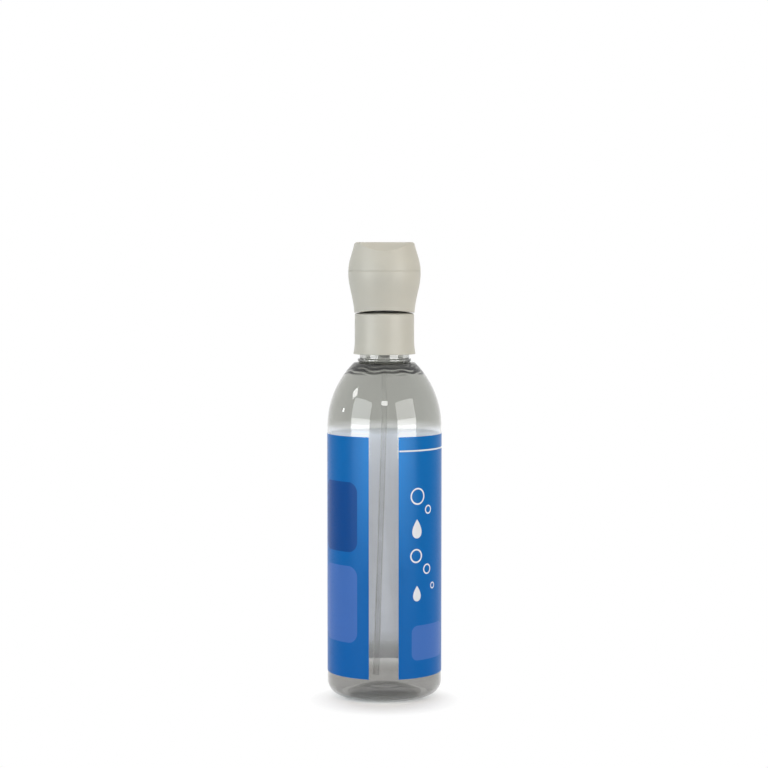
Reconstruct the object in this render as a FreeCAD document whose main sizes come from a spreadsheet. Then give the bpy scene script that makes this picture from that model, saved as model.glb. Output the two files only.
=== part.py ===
import FreeCAD, Part
import math
import os
import Sketcher

# Fine-mist trigger spray bottle. Millimetres and degrees. The bottle stands on z = 0 with its
# axis on z; the spray leaves along +x and the trigger's pivot lies along y.
SIZES = {
    # bottle
    "bottle_radius": 33.0,
    "bottle_wall": 0.7,
    "base_wall": 1.0,
    "heel_radius": 8.0,
    "foot_width": 4.0,
    "push_up": 5.0,
    "shoulder_start": 156.0,
    "shoulder_radius": 51.5,
    "shoulder_rise": 36.8,
    "ledge_rise": 0.5,
    "bead_radius": 15.4,
    "bead_height": 1.6,
    "bead_gap": 0.15,
    "neck_radius": 14.25,
    "neck_band": 3.3,
    "neck_bore": 10.9,
    "finish_height": 20.0,
    "thread_root": 12.6,
    "thread_depth": 1.15,
    "thread_pitch": 4.233,
    "thread_turns": 1.5,
    "thread_foot": 2.4,
    "thread_crest": 1.2,
    "thread_offset": 6.0,
    # label
    "label_base": 13.9,
    "label_height": 138.1,
    "label_thickness": 0.12,
    "label_glue": 0.03,
    "label_gap_angle": 29.5,
    "label_gap_turn": 0.75,
    # collar
    "collar_radius": 17.15,
    "collar_flare": 0.85,
    "flare_height": 8.0,
    "collar_drop": 17.4,
    "collar_wall": 1.0,
    "collar_top_wall": 2.65,
    "collar_edge": 0.6,
    "dome_rise": 1.45,
    "collar_hole_clearance": 0.4,
    "sleeve_clearance": 0.35,
    "sleeve_wall": 1.0,
    "sleeve_drop": 15.2,
    "collar_thread_clearance": 0.3,
    "collar_thread_foot": 1.8,
    "collar_thread_crest": 0.9,
    "collar_thread_turns": 1.25,
    # pump body
    "gasket_thickness": 1.0,
    "gasket_overhang": 0.8,
    "flange_thickness": 2.0,
    "flange_overhang": 0.7,
    "flange_play": 0.05,
    "barrel_clearance": 0.5,
    "barrel_wall": 1.4,
    "barrel_drop": 16.0,
    "column_radius": 10.2,
    "plate_gap": 2.9,
    "plate_radius": 15.4,
    "plate_thickness": 1.4,
    "plate_front": 11.0,
    "deck_thickness": 5.5,
    "pump_bore": 6.0,
    "pump_wall": 1.3,
    "pump_lift": 6.5,
    "pump_back": 7.5,
    "pump_front": 13.4,
    "pump_back_wall": 1.5,
    "port_radius": 0.8,
    "transfer_port_reach": 4.8,
    "outlet_port_reach": 7.9,
    "outlet_port_radius": 0.7,
    "outlet_post_radius": 1.9,
    "outlet_post_setback": 1.0,
    "discharge_lift": 27.0,
    "valve_bore": 3.0,
    "valve_wall": 1.2,
    "valve_back": 7.0,
    "valve_seat_reach": 2.0,
    "discharge_bore": 1.4,
    "discharge_radius": 3.2,
    "discharge_front": 25.0,
    "web_thickness": 2.0,
    "vent_radius": 0.4,
    # buffer
    "riser_radius": 2.6,
    "riser_bore": 1.1,
    "cap_plug_height": 2.5,
    "cap_lip": 1.0,
    "cap_fit": 0.02,
    "cap_hole_radius": 0.8,
    "cap_hole_reach": 5.2,
    "socket_boss_radius": 2.9,
    "socket_boss_length": 2.6,
    "socket_depth": 8.5,
    "flap_thickness": 0.6,
    "flap_reach": 6.4,
    "buffer_piston_height": 5.2,
    "buffer_piston_gap": 0.3,
    "buffer_piston_play": 0.25,
    "buffer_seal_height": 1.6,
    "buffer_seal_depth": 1.2,
    "seal_play": 0.05,
    "buffer_spring_wire": 0.8,
    "buffer_spring_radius": 5.9,
    "buffer_spring_turns": 5.0,
    # inlet valve
    "ball_radius": 1.6,
    "ball_play": 0.4,
    "ball_lift": 0.9,
    # pump piston
    "piston_rest": 8.2,
    "piston_core": 3.2,
    "piston_head": 5.7,
    "piston_head_length": 1.4,
    "cup_seal_length": 2.7,
    "cup_seal_offset": 0.3,
    "retainer_thickness": 1.2,
    "retainer_play": 0.15,
    "return_spring_wire": 0.8,
    "return_spring_radius": 4.5,
    "return_spring_turns": 7.0,
    # outlet valve
    "poppet_radius": 2.7,
    "poppet_length": 2.6,
    "poppet_cone": 1.7,
    "poppet_tip": 1.2,
    "seat_play": 0.05,
    "plug_depth": 2.2,
    "plug_head": 1.0,
    "outlet_spring_wire": 0.4,
    "outlet_spring_radius": 2.0,
    "outlet_spring_turns": 3.5,
    # nozzle
    "swirl_radius": 2.2,
    "swirl_length": 4.4,
    "swirl_slot": 0.9,
    "cup_wall": 1.0,
    "cup_skirt": 3.0,
    "cup_front": 2.2,
    "orifice_radius": 0.3,
    "bezel_radius": 5.2,
    "bezel_sleeve": 1.9,
    "bezel_length": 6.7,
    "bezel_mouth": 3.9,
    "bezel_throat": 1.3,
    # trigger
    "pivot_reach": 20.0,
    "pivot_radius": 1.9,
    "pivot_play": 0.05,
    "pivot_half_span": 8.1,
    "hub_radius": 3.5,
    "fork_gap": 9.2,
    "fork_width": 14.4,
    "fork_reach": 4.4,
    "trigger_pull": 18.0,
    "trigger_width": 18.0,
    "trigger_wall": 1.9,
    "trigger_drop": 47.0,
    "trigger_depth": 4.6,
    "trigger_top_gap": 0.8,
    "trigger_top_reach": 6.2,
    "trigger_tip_reach": 18.4,
    "trigger_sag": 3.6,
    "trigger_edge": 1.3,
    "pusher_radius": 1.6,
    "pusher_width": 3.0,
    "pusher_gap": 0.06,
    # shells
    "shell_wall": 1.5,
    "shroud_gap": 0.6,
    "shroud_height": 24.3,
    "shroud_foot_width": 17.4,
    "shroud_foot_nose": 8.6,
    "shroud_foot_reach": 9.6,
    "shroud_arch": 1.75,
    "shroud_front": 12.5,
    "shroud_front_lean": 18.0,
    "shelf_thickness": 1.3,
    "shelf_hole": 12.4,
    "seam_width": 20.85,
    "seam_nose": 11.0,
    "seam_reach": 20.0,
    "cover_height": 16.4,
    "crown_width": 17.5,
    "crown_nose": 8.6,
    "crown_reach": 18.8,
    "crown_round": 1.7,
    "scoop_radius": 70.0,
    "scoop_depth": 4.9,
    "scoop_slope": 20.6,
    "scoop_run": 24.0,
    "scoop_length": 80.0,
    "scoop_back": 1.0,
    "bezel_hole_play": 0.05,
    # dip tube
    "tube_radius": 1.8,
    "tube_wall": 0.6,
    "tube_fit": 0.02,
    "tube_straight": 22.0,
    "tube_bend_radius": 500.0,
    "tube_lean": 4.5,
    "tube_tail": 134.5,
    "tube_turn": 24.0,
}

# How far each level of the shells has swollen between its lower and its upper rim.
SHROUD_LEVELS = ((0.0, 0.0), (0.36, 0.36), (0.72, 0.88), (1.0, 1.0))
COVER_LEVELS = ((0.0, 0.0), (0.35, 0.19), (0.7, 0.62), (1.0, 1.0))

document = FreeCAD.newDocument("spray_bottle")
sheet = document.addObject("Spreadsheet::Sheet", "sizes")
for row, (name, value) in enumerate(SIZES.items(), start=1):
    sheet.set(f"A{row}", name)
    sheet.set(f"B{row}", str(value))
    sheet.setAlias(f"B{row}", name)
document.recompute()


class Size:
    """A length or an angle, kept as a number and as the expression that ties it to the sheet."""

    def __init__(self, value, text):
        self.value = value
        self.text = text

    def __add__(self, other):
        return Size(self.value + number(other), f"({self.text} + {words(other)})")

    def __radd__(self, other):
        return Size(number(other) + self.value, f"({words(other)} + {self.text})")

    def __sub__(self, other):
        return Size(self.value - number(other), f"({self.text} - {words(other)})")

    def __rsub__(self, other):
        return Size(number(other) - self.value, f"({words(other)} - {self.text})")

    def __mul__(self, other):
        return Size(self.value * number(other), f"({self.text} * {words(other)})")

    def __rmul__(self, other):
        return Size(number(other) * self.value, f"({words(other)} * {self.text})")

    def __truediv__(self, other):
        return Size(self.value / number(other), f"({self.text} / {words(other)})")

    def __neg__(self):
        return Size(-self.value, f"(-{self.text})")


def number(item):
    """The plain value of a size or a number."""
    return item.value if isinstance(item, Size) else float(item)


def words(item):
    """The expression of a size or a number."""
    return item.text if isinstance(item, Size) else f"({float(item)})"


def size(name):
    """The sheet's size of that name."""
    return Size(SIZES[name], f"sizes.{name}")


def root(item):
    """Square root of a size."""
    return Size(math.sqrt(number(item)), f"sqrt({words(item)})")


def sine(angle):
    """Sine of an angle in degrees."""
    return Size(math.sin(math.radians(number(angle))), f"sin({words(angle)})")


def cosine(angle):
    """Cosine of an angle in degrees."""
    return Size(math.cos(math.radians(number(angle))), f"cos({words(angle)})")


def tangent(angle):
    """Tangent of an angle in degrees."""
    return Size(math.tan(math.radians(number(angle))), f"tan({words(angle)})")


def bow(half_chord, rise):
    """Radius of the arc that rises by so much over a chord."""
    return (half_chord * half_chord + rise * rise) / (2.0 * rise)


TOWARD_X = FreeCAD.Rotation(FreeCAD.Vector(0, 1, 0), 90)
TOWARD_Y = FreeCAD.Rotation(FreeCAD.Vector(1, 0, 0), -90)
UPRIGHT = FreeCAD.Rotation()


def bind(thing, prop, item):
    """Sets a property from a size and ties it to the sheet."""
    setattr(thing, prop, number(item))
    thing.setExpression(prop, words(item))


def put(thing, x=0.0, y=0.0, z=0.0, turn=UPRIGHT):
    """Places a piece, each coordinate tied to the sheet."""
    thing.Placement = FreeCAD.Placement(FreeCAD.Vector(number(x), number(y), number(z)), turn)
    for axis, item in (("x", x), ("y", y), ("z", z)):
        if isinstance(item, Size):
            thing.setExpression(f"Placement.Base.{axis}", item.text)
    return thing


def pin(sketch, edge, end, across, up):
    """Holds one end of an edge at its distances from the sketch's axes."""
    for kind, axis, item in (("DistanceX", -2, across), ("DistanceY", -1, up)):
        if abs(number(item)) < 1e-9:
            sketch.addConstraint(Sketcher.Constraint("PointOnObject", edge, end, axis))
        else:
            index = sketch.addConstraint(Sketcher.Constraint(kind, -1, 1, edge, end, number(item)))
            sketch.setExpression(f"Constraints[{index}]", words(item))


def add_edge(sketch, first, last, bend=None):
    """Adds a straight or bent edge; a positive bend turns left. Gives the edge and its two ends."""
    if bend is None:
        return sketch.addGeometry(Part.LineSegment(first, last), False), 1, 2
    radius = abs(number(bend))
    side = 1.0 if number(bend) > 0 else -1.0
    chord = last - first
    reach = math.sqrt(max(radius * radius - chord.Length * chord.Length / 4.0, 0.0))
    left = FreeCAD.Vector(-chord.y, chord.x, 0).normalize()
    centre = (first + last) * 0.5 + left * (side * reach)
    start, stop = (first, last) if side > 0 else (last, first)
    angles = [math.atan2(p.y - centre.y, p.x - centre.x) for p in (start, stop)]
    if angles[1] < angles[0]:
        angles[1] += 2.0 * math.pi
    circle = Part.Circle(centre, FreeCAD.Vector(0, 0, 1), radius)
    edge = sketch.addGeometry(Part.ArcOfCircle(circle, angles[0], angles[1]), False)
    index = sketch.addConstraint(Sketcher.Constraint("Radius", edge, radius))
    sketch.setExpression(f"Constraints[{index}]", words(bend if side > 0 else -bend))
    return (edge, 1, 2) if side > 0 else (edge, 2, 1)


def draw(sketch, corners, closed=True):
    """Draws an outline through corners (across, up) or (across, up, bend of the edge that leaves)."""
    points = [FreeCAD.Vector(number(corner[0]), number(corner[1]), 0) for corner in corners]
    count = len(corners)
    edges = []
    for index in range(count if closed else count - 1):
        corner = corners[index]
        bend = corner[2] if len(corner) > 2 else None
        edges.append(add_edge(sketch, points[index], points[(index + 1) % count], bend))
    for index, (edge, first, last) in enumerate(edges):
        pin(sketch, edge, first, corners[index][0], corners[index][1])
        if closed or index + 1 < len(edges):
            after, start, _ = edges[(index + 1) % len(edges)]
            sketch.addConstraint(Sketcher.Constraint("Coincident", edge, last, after, start))
        else:
            pin(sketch, edge, last, corners[-1][0], corners[-1][1])
    return sketch


def draw_circle(sketch, across, up, radius):
    """Draws a circle tied to the sheet."""
    centre = FreeCAD.Vector(number(across), number(up), 0)
    circle = Part.Circle(centre, FreeCAD.Vector(0, 0, 1), number(radius))
    edge = sketch.addGeometry(circle, False)
    index = sketch.addConstraint(Sketcher.Constraint("Radius", edge, number(radius)))
    sketch.setExpression(f"Constraints[{index}]", words(radius))
    pin(sketch, edge, 3, across, up)
    return sketch


def body(label):
    """A new body with its label."""
    thing = document.addObject("PartDesign::Body", label)
    thing.Label = label
    return thing


def sketch_in(owner, name, role="XZ_Plane", lift=None):
    """A sketch on one of a body's own planes, raised along its normal when asked."""
    sketch = owner.newObject("Sketcher::SketchObject", name)
    plane = next(item for item in owner.Origin.OriginFeatures if item.Role == role)
    sketch.AttachmentSupport = (plane, "")
    sketch.MapMode = "FlatFace"
    if lift is not None:
        sketch.AttachmentOffset = FreeCAD.Placement(FreeCAD.Vector(0, 0, number(lift)), UPRIGHT)
        sketch.setExpression("AttachmentOffset.Base.z", words(lift))
    return sketch


def turned(label, corners, angle=None, **place):
    """A body turned about its own z axis from the outline (radius, height)."""
    owner = body(label)
    sketch = draw(sketch_in(owner, label + "_section"), corners)
    turn = owner.newObject("PartDesign::Revolution", label + "_turn")
    turn.Profile = sketch
    turn.ReferenceAxis = (sketch, ["V_Axis"])
    turn.Angle = 360
    if angle is not None:
        bind(turn, "Angle", angle)
    owner.Tip = turn
    put(owner, **place)
    return owner


def helical_rib(owner, corners, pitch, turns):
    """Winds an outline up a body's axis and joins it to the body."""
    sketch = draw(sketch_in(owner, owner.Label + "_thread_section"), corners)
    rib = owner.newObject("PartDesign::AdditiveHelix", owner.Label + "_thread")
    rib.Profile = sketch
    rib.ReferenceAxis = (sketch, ["V_Axis"])
    rib.Mode = "pitch-turns-angle"
    bind(rib, "Pitch", pitch)
    bind(rib, "Turns", turns)
    owner.Tip = rib
    return rib


def padded(owner, name, corners, width, kind="PartDesign::Pad"):
    """Pads or pockets an outline on the body's middle plane, half the width to each side."""
    sketch = draw(sketch_in(owner, name + "_outline"), corners)
    step = owner.newObject(kind, name)
    step.Profile = sketch
    step.SideType = "Symmetric"
    bind(step, "Length", width)
    owner.Tip = step
    return step


def padded_round(owner, name, across, up, radius, width, kind="PartDesign::Pad"):
    """Pads or pockets a circle on the body's middle plane, half the width to each side."""
    sketch = draw_circle(sketch_in(owner, name + "_outline"), across, up, radius)
    step = owner.newObject(kind, name)
    step.Profile = sketch
    step.SideType = "Symmetric"
    bind(step, "Length", width)
    owner.Tip = step
    return step


def cylinder(name, radius, height, **place):
    """A plain cylinder."""
    thing = document.addObject("Part::Cylinder", name)
    bind(thing, "Radius", radius)
    bind(thing, "Height", height)
    return put(thing, **place)


def box(name, length, width, height, **place):
    """A plain box that starts at its corner."""
    thing = document.addObject("Part::Box", name)
    bind(thing, "Length", length)
    bind(thing, "Width", width)
    bind(thing, "Height", height)
    return put(thing, **place)


def joined(name, things):
    """The things made one."""
    thing = document.addObject("Part::MultiFuse", name)
    thing.Shapes = things
    thing.Refine = True
    return thing


def cut(name, base, tool):
    """The base with the tool taken away."""
    thing = document.addObject("Part::Cut", name)
    thing.Base = base
    thing.Tool = tool
    thing.Refine = True
    return thing


def coil(label, radius, wire, turns, length, **place):
    """A coil spring of round wire whose ends lie in the length."""
    line = document.addObject("Part::Helix", label + "_line")
    bind(line, "Radius", radius)
    bind(line, "Pitch", (length - wire) / turns)
    bind(line, "Height", length - wire)
    ring = document.addObject("Part::Circle", label + "_wire")
    bind(ring, "Radius", wire / 2.0)
    put(ring, x=radius, turn=FreeCAD.Rotation(FreeCAD.Vector(1, 0, 0), 90))
    thing = document.addObject("Part::Sweep", label)
    thing.Sections = [ring]
    thing.Spine = (line, [])
    thing.Solid = True
    thing.Frenet = True
    return put(thing, **place)


def egg(sketch, back, nose, reach):
    """Draws a large arc about the axis and a small one in front, joined by their tangents."""
    slant = math.acos((number(back) - number(nose)) / number(reach))
    up = FreeCAD.Vector(0, 0, 1)
    ends = []
    for centre, radius in ((0.0, number(back)), (number(reach), number(nose))):
        for side in (1.0, -1.0):
            across = centre + radius * math.cos(slant)
            ends.append(FreeCAD.Vector(across, side * radius * math.sin(slant), 0))
    rear = Part.Circle(FreeCAD.Vector(0, 0, 0), up, number(back))
    front = Part.Circle(FreeCAD.Vector(number(reach), 0, 0), up, number(nose))
    sketch.addGeometry(Part.ArcOfCircle(rear, slant, 2.0 * math.pi - slant), False)
    sketch.addGeometry(Part.LineSegment(ends[1], ends[3]), False)
    sketch.addGeometry(Part.ArcOfCircle(front, 2.0 * math.pi - slant, 2.0 * math.pi + slant), False)
    sketch.addGeometry(Part.LineSegment(ends[2], ends[0]), False)
    for edge in range(4):
        sketch.addConstraint(Sketcher.Constraint("Tangent", edge, 2, (edge + 1) % 4, 1))
    sketch.addConstraint(Sketcher.Constraint("Coincident", 0, 3, -1, 1))
    sketch.addConstraint(Sketcher.Constraint("PointOnObject", 2, 3, -1))
    for constraint, item in (
        (Sketcher.Constraint("Radius", 0, number(back)), back),
        (Sketcher.Constraint("Radius", 2, number(nose)), nose),
        (Sketcher.Constraint("DistanceX", -1, 1, 2, 3, number(reach)), reach),
    ):
        index = sketch.addConstraint(constraint)
        sketch.setExpression(f"Constraints[{index}]", words(item))
    return sketch


def add_loft(owner, name, stations):
    """Joins a loft through egg-shaped stations (height, width, nose, reach) to a body."""
    sketches = []
    for index, (height, width, nose, reach) in enumerate(stations):
        sketch = sketch_in(owner, f"{name}_level_{index}", "XY_Plane", height)
        sketches.append(egg(sketch, width, nose, reach))
    loft = owner.newObject("PartDesign::AdditiveLoft", name)
    loft.Profile = sketches[0]
    loft.Sections = sketches[1:]
    owner.Tip = loft
    return loft


def shell_form(label, levels, base, height, lower, upper, inset):
    """A lofted body between two egg-shaped rims (width, nose, reach), drawn in by an inset."""
    owner = body(label)
    stations = []
    for rise, swell in levels:
        width, nose, reach = (a + (b - a) * swell for a, b in zip(lower, upper))
        stations.append((base + height * rise, width - inset, nose - inset, reach))
    add_loft(owner, label + "_loft", stations)
    return owner


# Heights and depths that several pieces share.
shoulder_top = size("shoulder_start") + size("shoulder_rise")
bead_base = shoulder_top + size("ledge_rise") + size("bead_gap")
bead_top = bead_base + size("bead_height")
neck_top = bead_top + size("neck_band")
rim = bead_top + size("finish_height")
gasket_top = rim + size("gasket_thickness")
flange_top = gasket_top + size("flange_thickness")
ceiling = flange_top + size("flange_play")
collar_top = ceiling + size("collar_top_wall")
collar_base = rim - size("collar_drop")
plate_base = collar_top + size("plate_gap")
plate_top = plate_base + size("plate_thickness")
barrel_base = rim - size("barrel_drop")
barrel_radius = size("neck_bore") - size("barrel_clearance")
barrel_bore = barrel_radius - size("barrel_wall")
pump_height = plate_top + size("pump_lift")
pump_radius = size("pump_bore") + size("pump_wall")
pump_floor = pump_height - size("pump_bore")
roof = pump_floor - size("deck_thickness") - 0.5
discharge_height = plate_top + size("discharge_lift")
valve_radius = size("valve_bore") + size("valve_wall")
riser_top = roof + 1.5
cage_roof = riser_top + root(size("ball_radius") * size("ball_radius")
                             - size("riser_bore") * size("riser_bore"))
cage_roof = cage_roof + size("ball_radius") + size("ball_lift")
half_pull = size("trigger_pull") / 2.0
pusher_reach = size("pivot_reach") + (discharge_height - pump_height) * tangent(half_pull)
rod_front = pusher_reach - size("pusher_radius") - size("pusher_gap")
shroud_base = collar_top + size("shroud_gap")
seam = shroud_base + size("shroud_height")
crown = seam + size("cover_height")
tube_socket = size("tube_radius") + size("tube_fit")


def make_bottle():
    """Thin-walled bottle: domed foot, round shoulder, bead, neck and helical thread."""
    radius = size("bottle_radius")
    wall = size("bottle_wall")
    heel = size("heel_radius")
    foot = radius - heel - size("foot_width")
    bend = size("shoulder_radius")
    inner_rise = size("shoulder_rise") - wall
    rise = size("shoulder_rise")
    top_radius = radius - bend + root(bend * bend - rise * rise)
    inner_bend = bend - wall
    inner_top = radius - bend + root(inner_bend * inner_bend - inner_rise * inner_rise)
    dome = bow(foot, size("push_up"))
    taper = size("neck_radius") - size("thread_root")
    bore = size("neck_bore")
    corners = [
        (0.0, size("push_up"), -dome),
        (foot, 0.0),
        (radius - heel, 0.0, heel),
        (radius, heel),
        (radius, size("shoulder_start"), bend),
        (top_radius, shoulder_top),
        (size("neck_radius"), shoulder_top + size("ledge_rise")),
        (size("neck_radius"), bead_base),
        (size("bead_radius"), bead_base),
        (size("bead_radius"), bead_top),
        (size("neck_radius"), bead_top),
        (size("neck_radius"), neck_top),
        (size("thread_root"), neck_top + taper),
        (size("thread_root"), rim),
        (bore, rim),
        (bore, bead_base),
        (inner_top, shoulder_top - wall, -inner_bend),
        (radius - wall, size("shoulder_start")),
        (radius - wall, heel, -(heel - wall)),
        (radius - heel, wall),
        (foot, size("base_wall"), dome),
        (0.0, size("push_up") + size("base_wall")),
    ]
    thing = turned("bottle", corners)
    base = bead_top + size("thread_offset")
    foot_width = size("thread_foot")
    slope = (foot_width - size("thread_crest")) / 2.0
    inside = size("thread_root") - 0.4
    crest = size("thread_root") + size("thread_depth")
    helical_rib(thing, [
        (inside, base),
        (crest, base + slope),
        (crest, base + slope + size("thread_crest")),
        (inside, base + foot_width),
    ], size("thread_pitch"), size("thread_turns"))
    return thing


def make_label():
    """Paper-thin wrap with a gap down the back."""
    inner = size("bottle_radius") + size("label_glue")
    outer = inner + size("label_thickness")
    base = size("label_base")
    top = base + size("label_height")
    thing = turned("label", [(inner, base), (outer, base), (outer, top), (inner, top)],
                   angle=360.0 - size("label_gap_angle"))
    start = 180.0 + size("label_gap_angle") / 2.0 - size("label_gap_turn")
    thing.Placement = FreeCAD.Placement(
        FreeCAD.Vector(0, 0, 0), FreeCAD.Rotation(FreeCAD.Vector(0, 0, 1), number(start)))
    thing.setExpression("Placement.Rotation.Angle", words(start))
    return thing


def make_collar():
    """Double-walled screw collar with a domed top and an inner thread."""
    radius = size("collar_radius")
    flare = size("collar_flare")
    wall = size("collar_wall")
    edge = size("collar_edge")
    hole = size("column_radius") + size("collar_hole_clearance")
    bore = size("thread_root") + size("thread_depth") + size("sleeve_clearance")
    sleeve_base = rim - size("sleeve_drop")
    flare_top = collar_base + size("flare_height")
    flare_bend = bow(size("flare_height"), flare) * 1.02
    dome_bend = bow(radius - edge, size("dome_rise")) * 1.2
    roof_gap = ceiling + size("collar_top_wall") * 0.4
    thing = turned("collar", [
        (radius + flare - wall, collar_base),
        (radius + flare, collar_base, -flare_bend),
        (radius, flare_top),
        (radius, collar_top - edge, edge),
        (radius - edge, collar_top, dome_bend),
        (hole, collar_top + size("dome_rise")),
        (hole, ceiling),
        (bore, ceiling),
        (bore, sleeve_base),
        (bore + size("sleeve_wall"), sleeve_base),
        (bore + size("sleeve_wall"), roof_gap),
        (radius - wall, roof_gap),
        (radius - wall, flare_top, flare_bend),
    ])
    foot = size("collar_thread_foot")
    crest = size("collar_thread_crest")
    middle = bead_top + size("thread_offset") + size("thread_foot") / 2.0 + size("thread_pitch") / 2.0
    inside = size("thread_root") + size("collar_thread_clearance")
    outside = bore + 0.4
    helical_rib(thing, [
        (inside, middle - crest / 2.0),
        (outside, middle - foot / 2.0),
        (outside, middle + foot / 2.0),
        (inside, middle + crest / 2.0),
    ], size("thread_pitch"), size("collar_thread_turns"))
    return thing


def make_neck_gasket():
    """Flat ring on the rim; its inner lip also closes the vent."""
    inner = barrel_radius + 0.15
    outer = size("thread_root") + size("gasket_overhang")
    return turned("neck_gasket", [(inner, rim), (outer, rim), (outer, gasket_top), (inner, gasket_top)])


def make_pump_body():
    """Moulded body: buffer barrel, flange, deck, pump cylinder, outlet post and discharge tube."""
    flange_radius = size("thread_root") + size("flange_overhang")
    post_y = size("outlet_port_reach")
    post_x = -size("outlet_post_setback")
    post_radius = size("outlet_post_radius")
    pump_length = size("pump_back") + size("pump_front")
    seat_reach = size("valve_seat_reach")
    chamber_length = size("valve_back") + seat_reach
    web_length = size("pump_back") * 0.7 + size("pump_front") * 0.7
    solids = [
        cylinder("barrel", barrel_radius, gasket_top - barrel_base, z=barrel_base),
        cylinder("flange", flange_radius, size("flange_thickness"), z=gasket_top),
        cylinder("column", size("column_radius"), plate_top - flange_top, z=flange_top),
        cut("plate", cylinder("plate_disc", size("plate_radius"), size("plate_thickness"), z=plate_base),
            box("plate_trim", size("plate_radius"), size("plate_radius") * 2.0,
                size("plate_thickness") * 3.0, x=size("plate_front"), y=-size("plate_radius"),
                z=plate_base - size("plate_thickness"))),
        cylinder("pump_barrel", pump_radius, pump_length, x=-size("pump_back"), z=pump_height,
                 turn=TOWARD_X),
        cylinder("outlet_post", post_radius, discharge_height + post_radius - plate_base,
                 x=post_x, y=post_y, z=plate_base),
        cylinder("outlet_cross", post_radius, post_y + post_radius, x=post_x, z=discharge_height,
                 turn=TOWARD_Y),
        cylinder("valve_housing", valve_radius, chamber_length + size("valve_wall"),
                 x=-size("valve_back"), z=discharge_height, turn=TOWARD_X),
        cylinder("discharge_tube", size("discharge_radius"), size("discharge_front"),
                 z=discharge_height, turn=TOWARD_X),
        cylinder("pivot_stubs", size("pivot_radius"), size("pivot_half_span") * 2.0,
                 x=size("pivot_reach"), y=-size("pivot_half_span"), z=discharge_height, turn=TOWARD_Y),
        box("web", web_length, size("web_thickness"), discharge_height - pump_height,
            x=-size("pump_back") * 0.7, y=-size("web_thickness") / 2.0, z=pump_height),
    ]
    cage = size("ball_radius") + size("ball_play")
    holes = [
        cylinder("buffer_bore", barrel_bore, roof - barrel_base, z=barrel_base),
        cylinder("riser_socket", size("riser_radius") + size("cap_fit"), riser_top - roof, z=roof),
        cylinder("ball_cage", cage, cage_roof - riser_top, z=riser_top),
        cylinder("inlet_port", size("riser_bore"), pump_floor - cage_roof + 1.0, z=cage_roof),
        cylinder("transfer_port", size("port_radius"), pump_floor - roof + 1.0,
                 x=-size("transfer_port_reach"), z=roof),
        cylinder("pump_chamber", size("pump_bore"), pump_length - size("pump_back_wall"),
                 x=size("pump_back_wall") - size("pump_back"), z=pump_height, turn=TOWARD_X),
        cylinder("outlet_port", size("outlet_port_radius"), discharge_height - roof,
                 x=post_x, y=post_y, z=roof),
        cylinder("cross_port", size("outlet_port_radius"), post_y, x=post_x, z=discharge_height,
                 turn=TOWARD_Y),
        cylinder("valve_chamber", size("valve_bore"), chamber_length, x=-size("valve_back"),
                 z=discharge_height, turn=TOWARD_X),
        cylinder("discharge_bore", size("discharge_bore"), size("discharge_front") - seat_reach,
                 x=seat_reach, z=discharge_height, turn=TOWARD_X),
        cylinder("swirl_bore", size("swirl_radius") + size("cap_fit"), size("swirl_length"),
                 x=size("discharge_front") - size("swirl_length"), z=discharge_height, turn=TOWARD_X),
        cylinder("vent", size("vent_radius"), size("flange_thickness"),
                 x=-(size("column_radius") + flange_radius) / 2.0, z=gasket_top),
    ]
    return cut("pump_body", joined("pump_solids", solids), joined("pump_holes", holes))


def make_buffer_cap():
    """Cap with the riser tube in its middle, vent holes and the socket for the dip tube."""
    plug = barrel_bore - size("cap_fit")
    lip_base = barrel_base - size("cap_lip")
    boss_base = lip_base - size("socket_boss_length")
    plug_top = barrel_base + size("cap_plug_height")
    socket_top = boss_base + size("socket_depth")
    thing = turned("buffer_cap", [
        (tube_socket, boss_base),
        (size("socket_boss_radius"), boss_base),
        (size("socket_boss_radius"), lip_base),
        (barrel_radius - 0.1, lip_base),
        (barrel_radius - 0.1, barrel_base),
        (plug, barrel_base),
        (plug, plug_top),
        (plug - 1.4, plug_top),
        (plug - 1.4, barrel_base + 0.4),
        (size("riser_radius"), barrel_base + 0.4),
        (size("riser_radius"), riser_top),
        (size("riser_bore"), riser_top),
        (size("riser_bore"), socket_top),
        (tube_socket, socket_top),
    ])
    sketch = sketch_in(thing, "cap_hole_outline", "XY_Plane", lip_base - 1.0)
    draw_circle(sketch, size("cap_hole_reach"), 0.0, size("cap_hole_radius"))
    hole = thing.newObject("PartDesign::Pocket", "cap_hole")
    hole.Profile = sketch
    hole.Reversed = True
    bind(hole, "Length", size("cap_lip") + 2.0)
    pattern = thing.newObject("PartDesign::PolarPattern", "cap_holes")
    pattern.Originals = [hole]
    pattern.Axis = (sketch, ["N_Axis"])
    pattern.Angle = 360
    pattern.Occurrences = 4
    thing.Tip = pattern
    return thing


flap_base = roof - size("flap_thickness")
piston_top = flap_base - size("buffer_piston_gap")
piston_base = piston_top - size("buffer_piston_height")
buffer_seal_base = piston_base + size("buffer_piston_height") / 2.0 - size("buffer_seal_height") / 2.0
buffer_seal_top = buffer_seal_base + size("buffer_seal_height")
buffer_outer = barrel_bore - size("buffer_piston_play")
buffer_inner = size("riser_radius") + size("buffer_piston_play")


def make_buffer_piston():
    """Ring piston around the riser with a groove for each seal."""
    depth = size("buffer_seal_depth")
    return turned("buffer_piston", [
        (buffer_inner, piston_base),
        (buffer_outer, piston_base),
        (buffer_outer, buffer_seal_base),
        (buffer_outer - depth, buffer_seal_base),
        (buffer_outer - depth, buffer_seal_top),
        (buffer_outer, buffer_seal_top),
        (buffer_outer, piston_top),
        (buffer_inner, piston_top),
        (buffer_inner, buffer_seal_top),
        (buffer_inner + depth, buffer_seal_top),
        (buffer_inner + depth, buffer_seal_base),
        (buffer_inner, buffer_seal_base),
    ])


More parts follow.
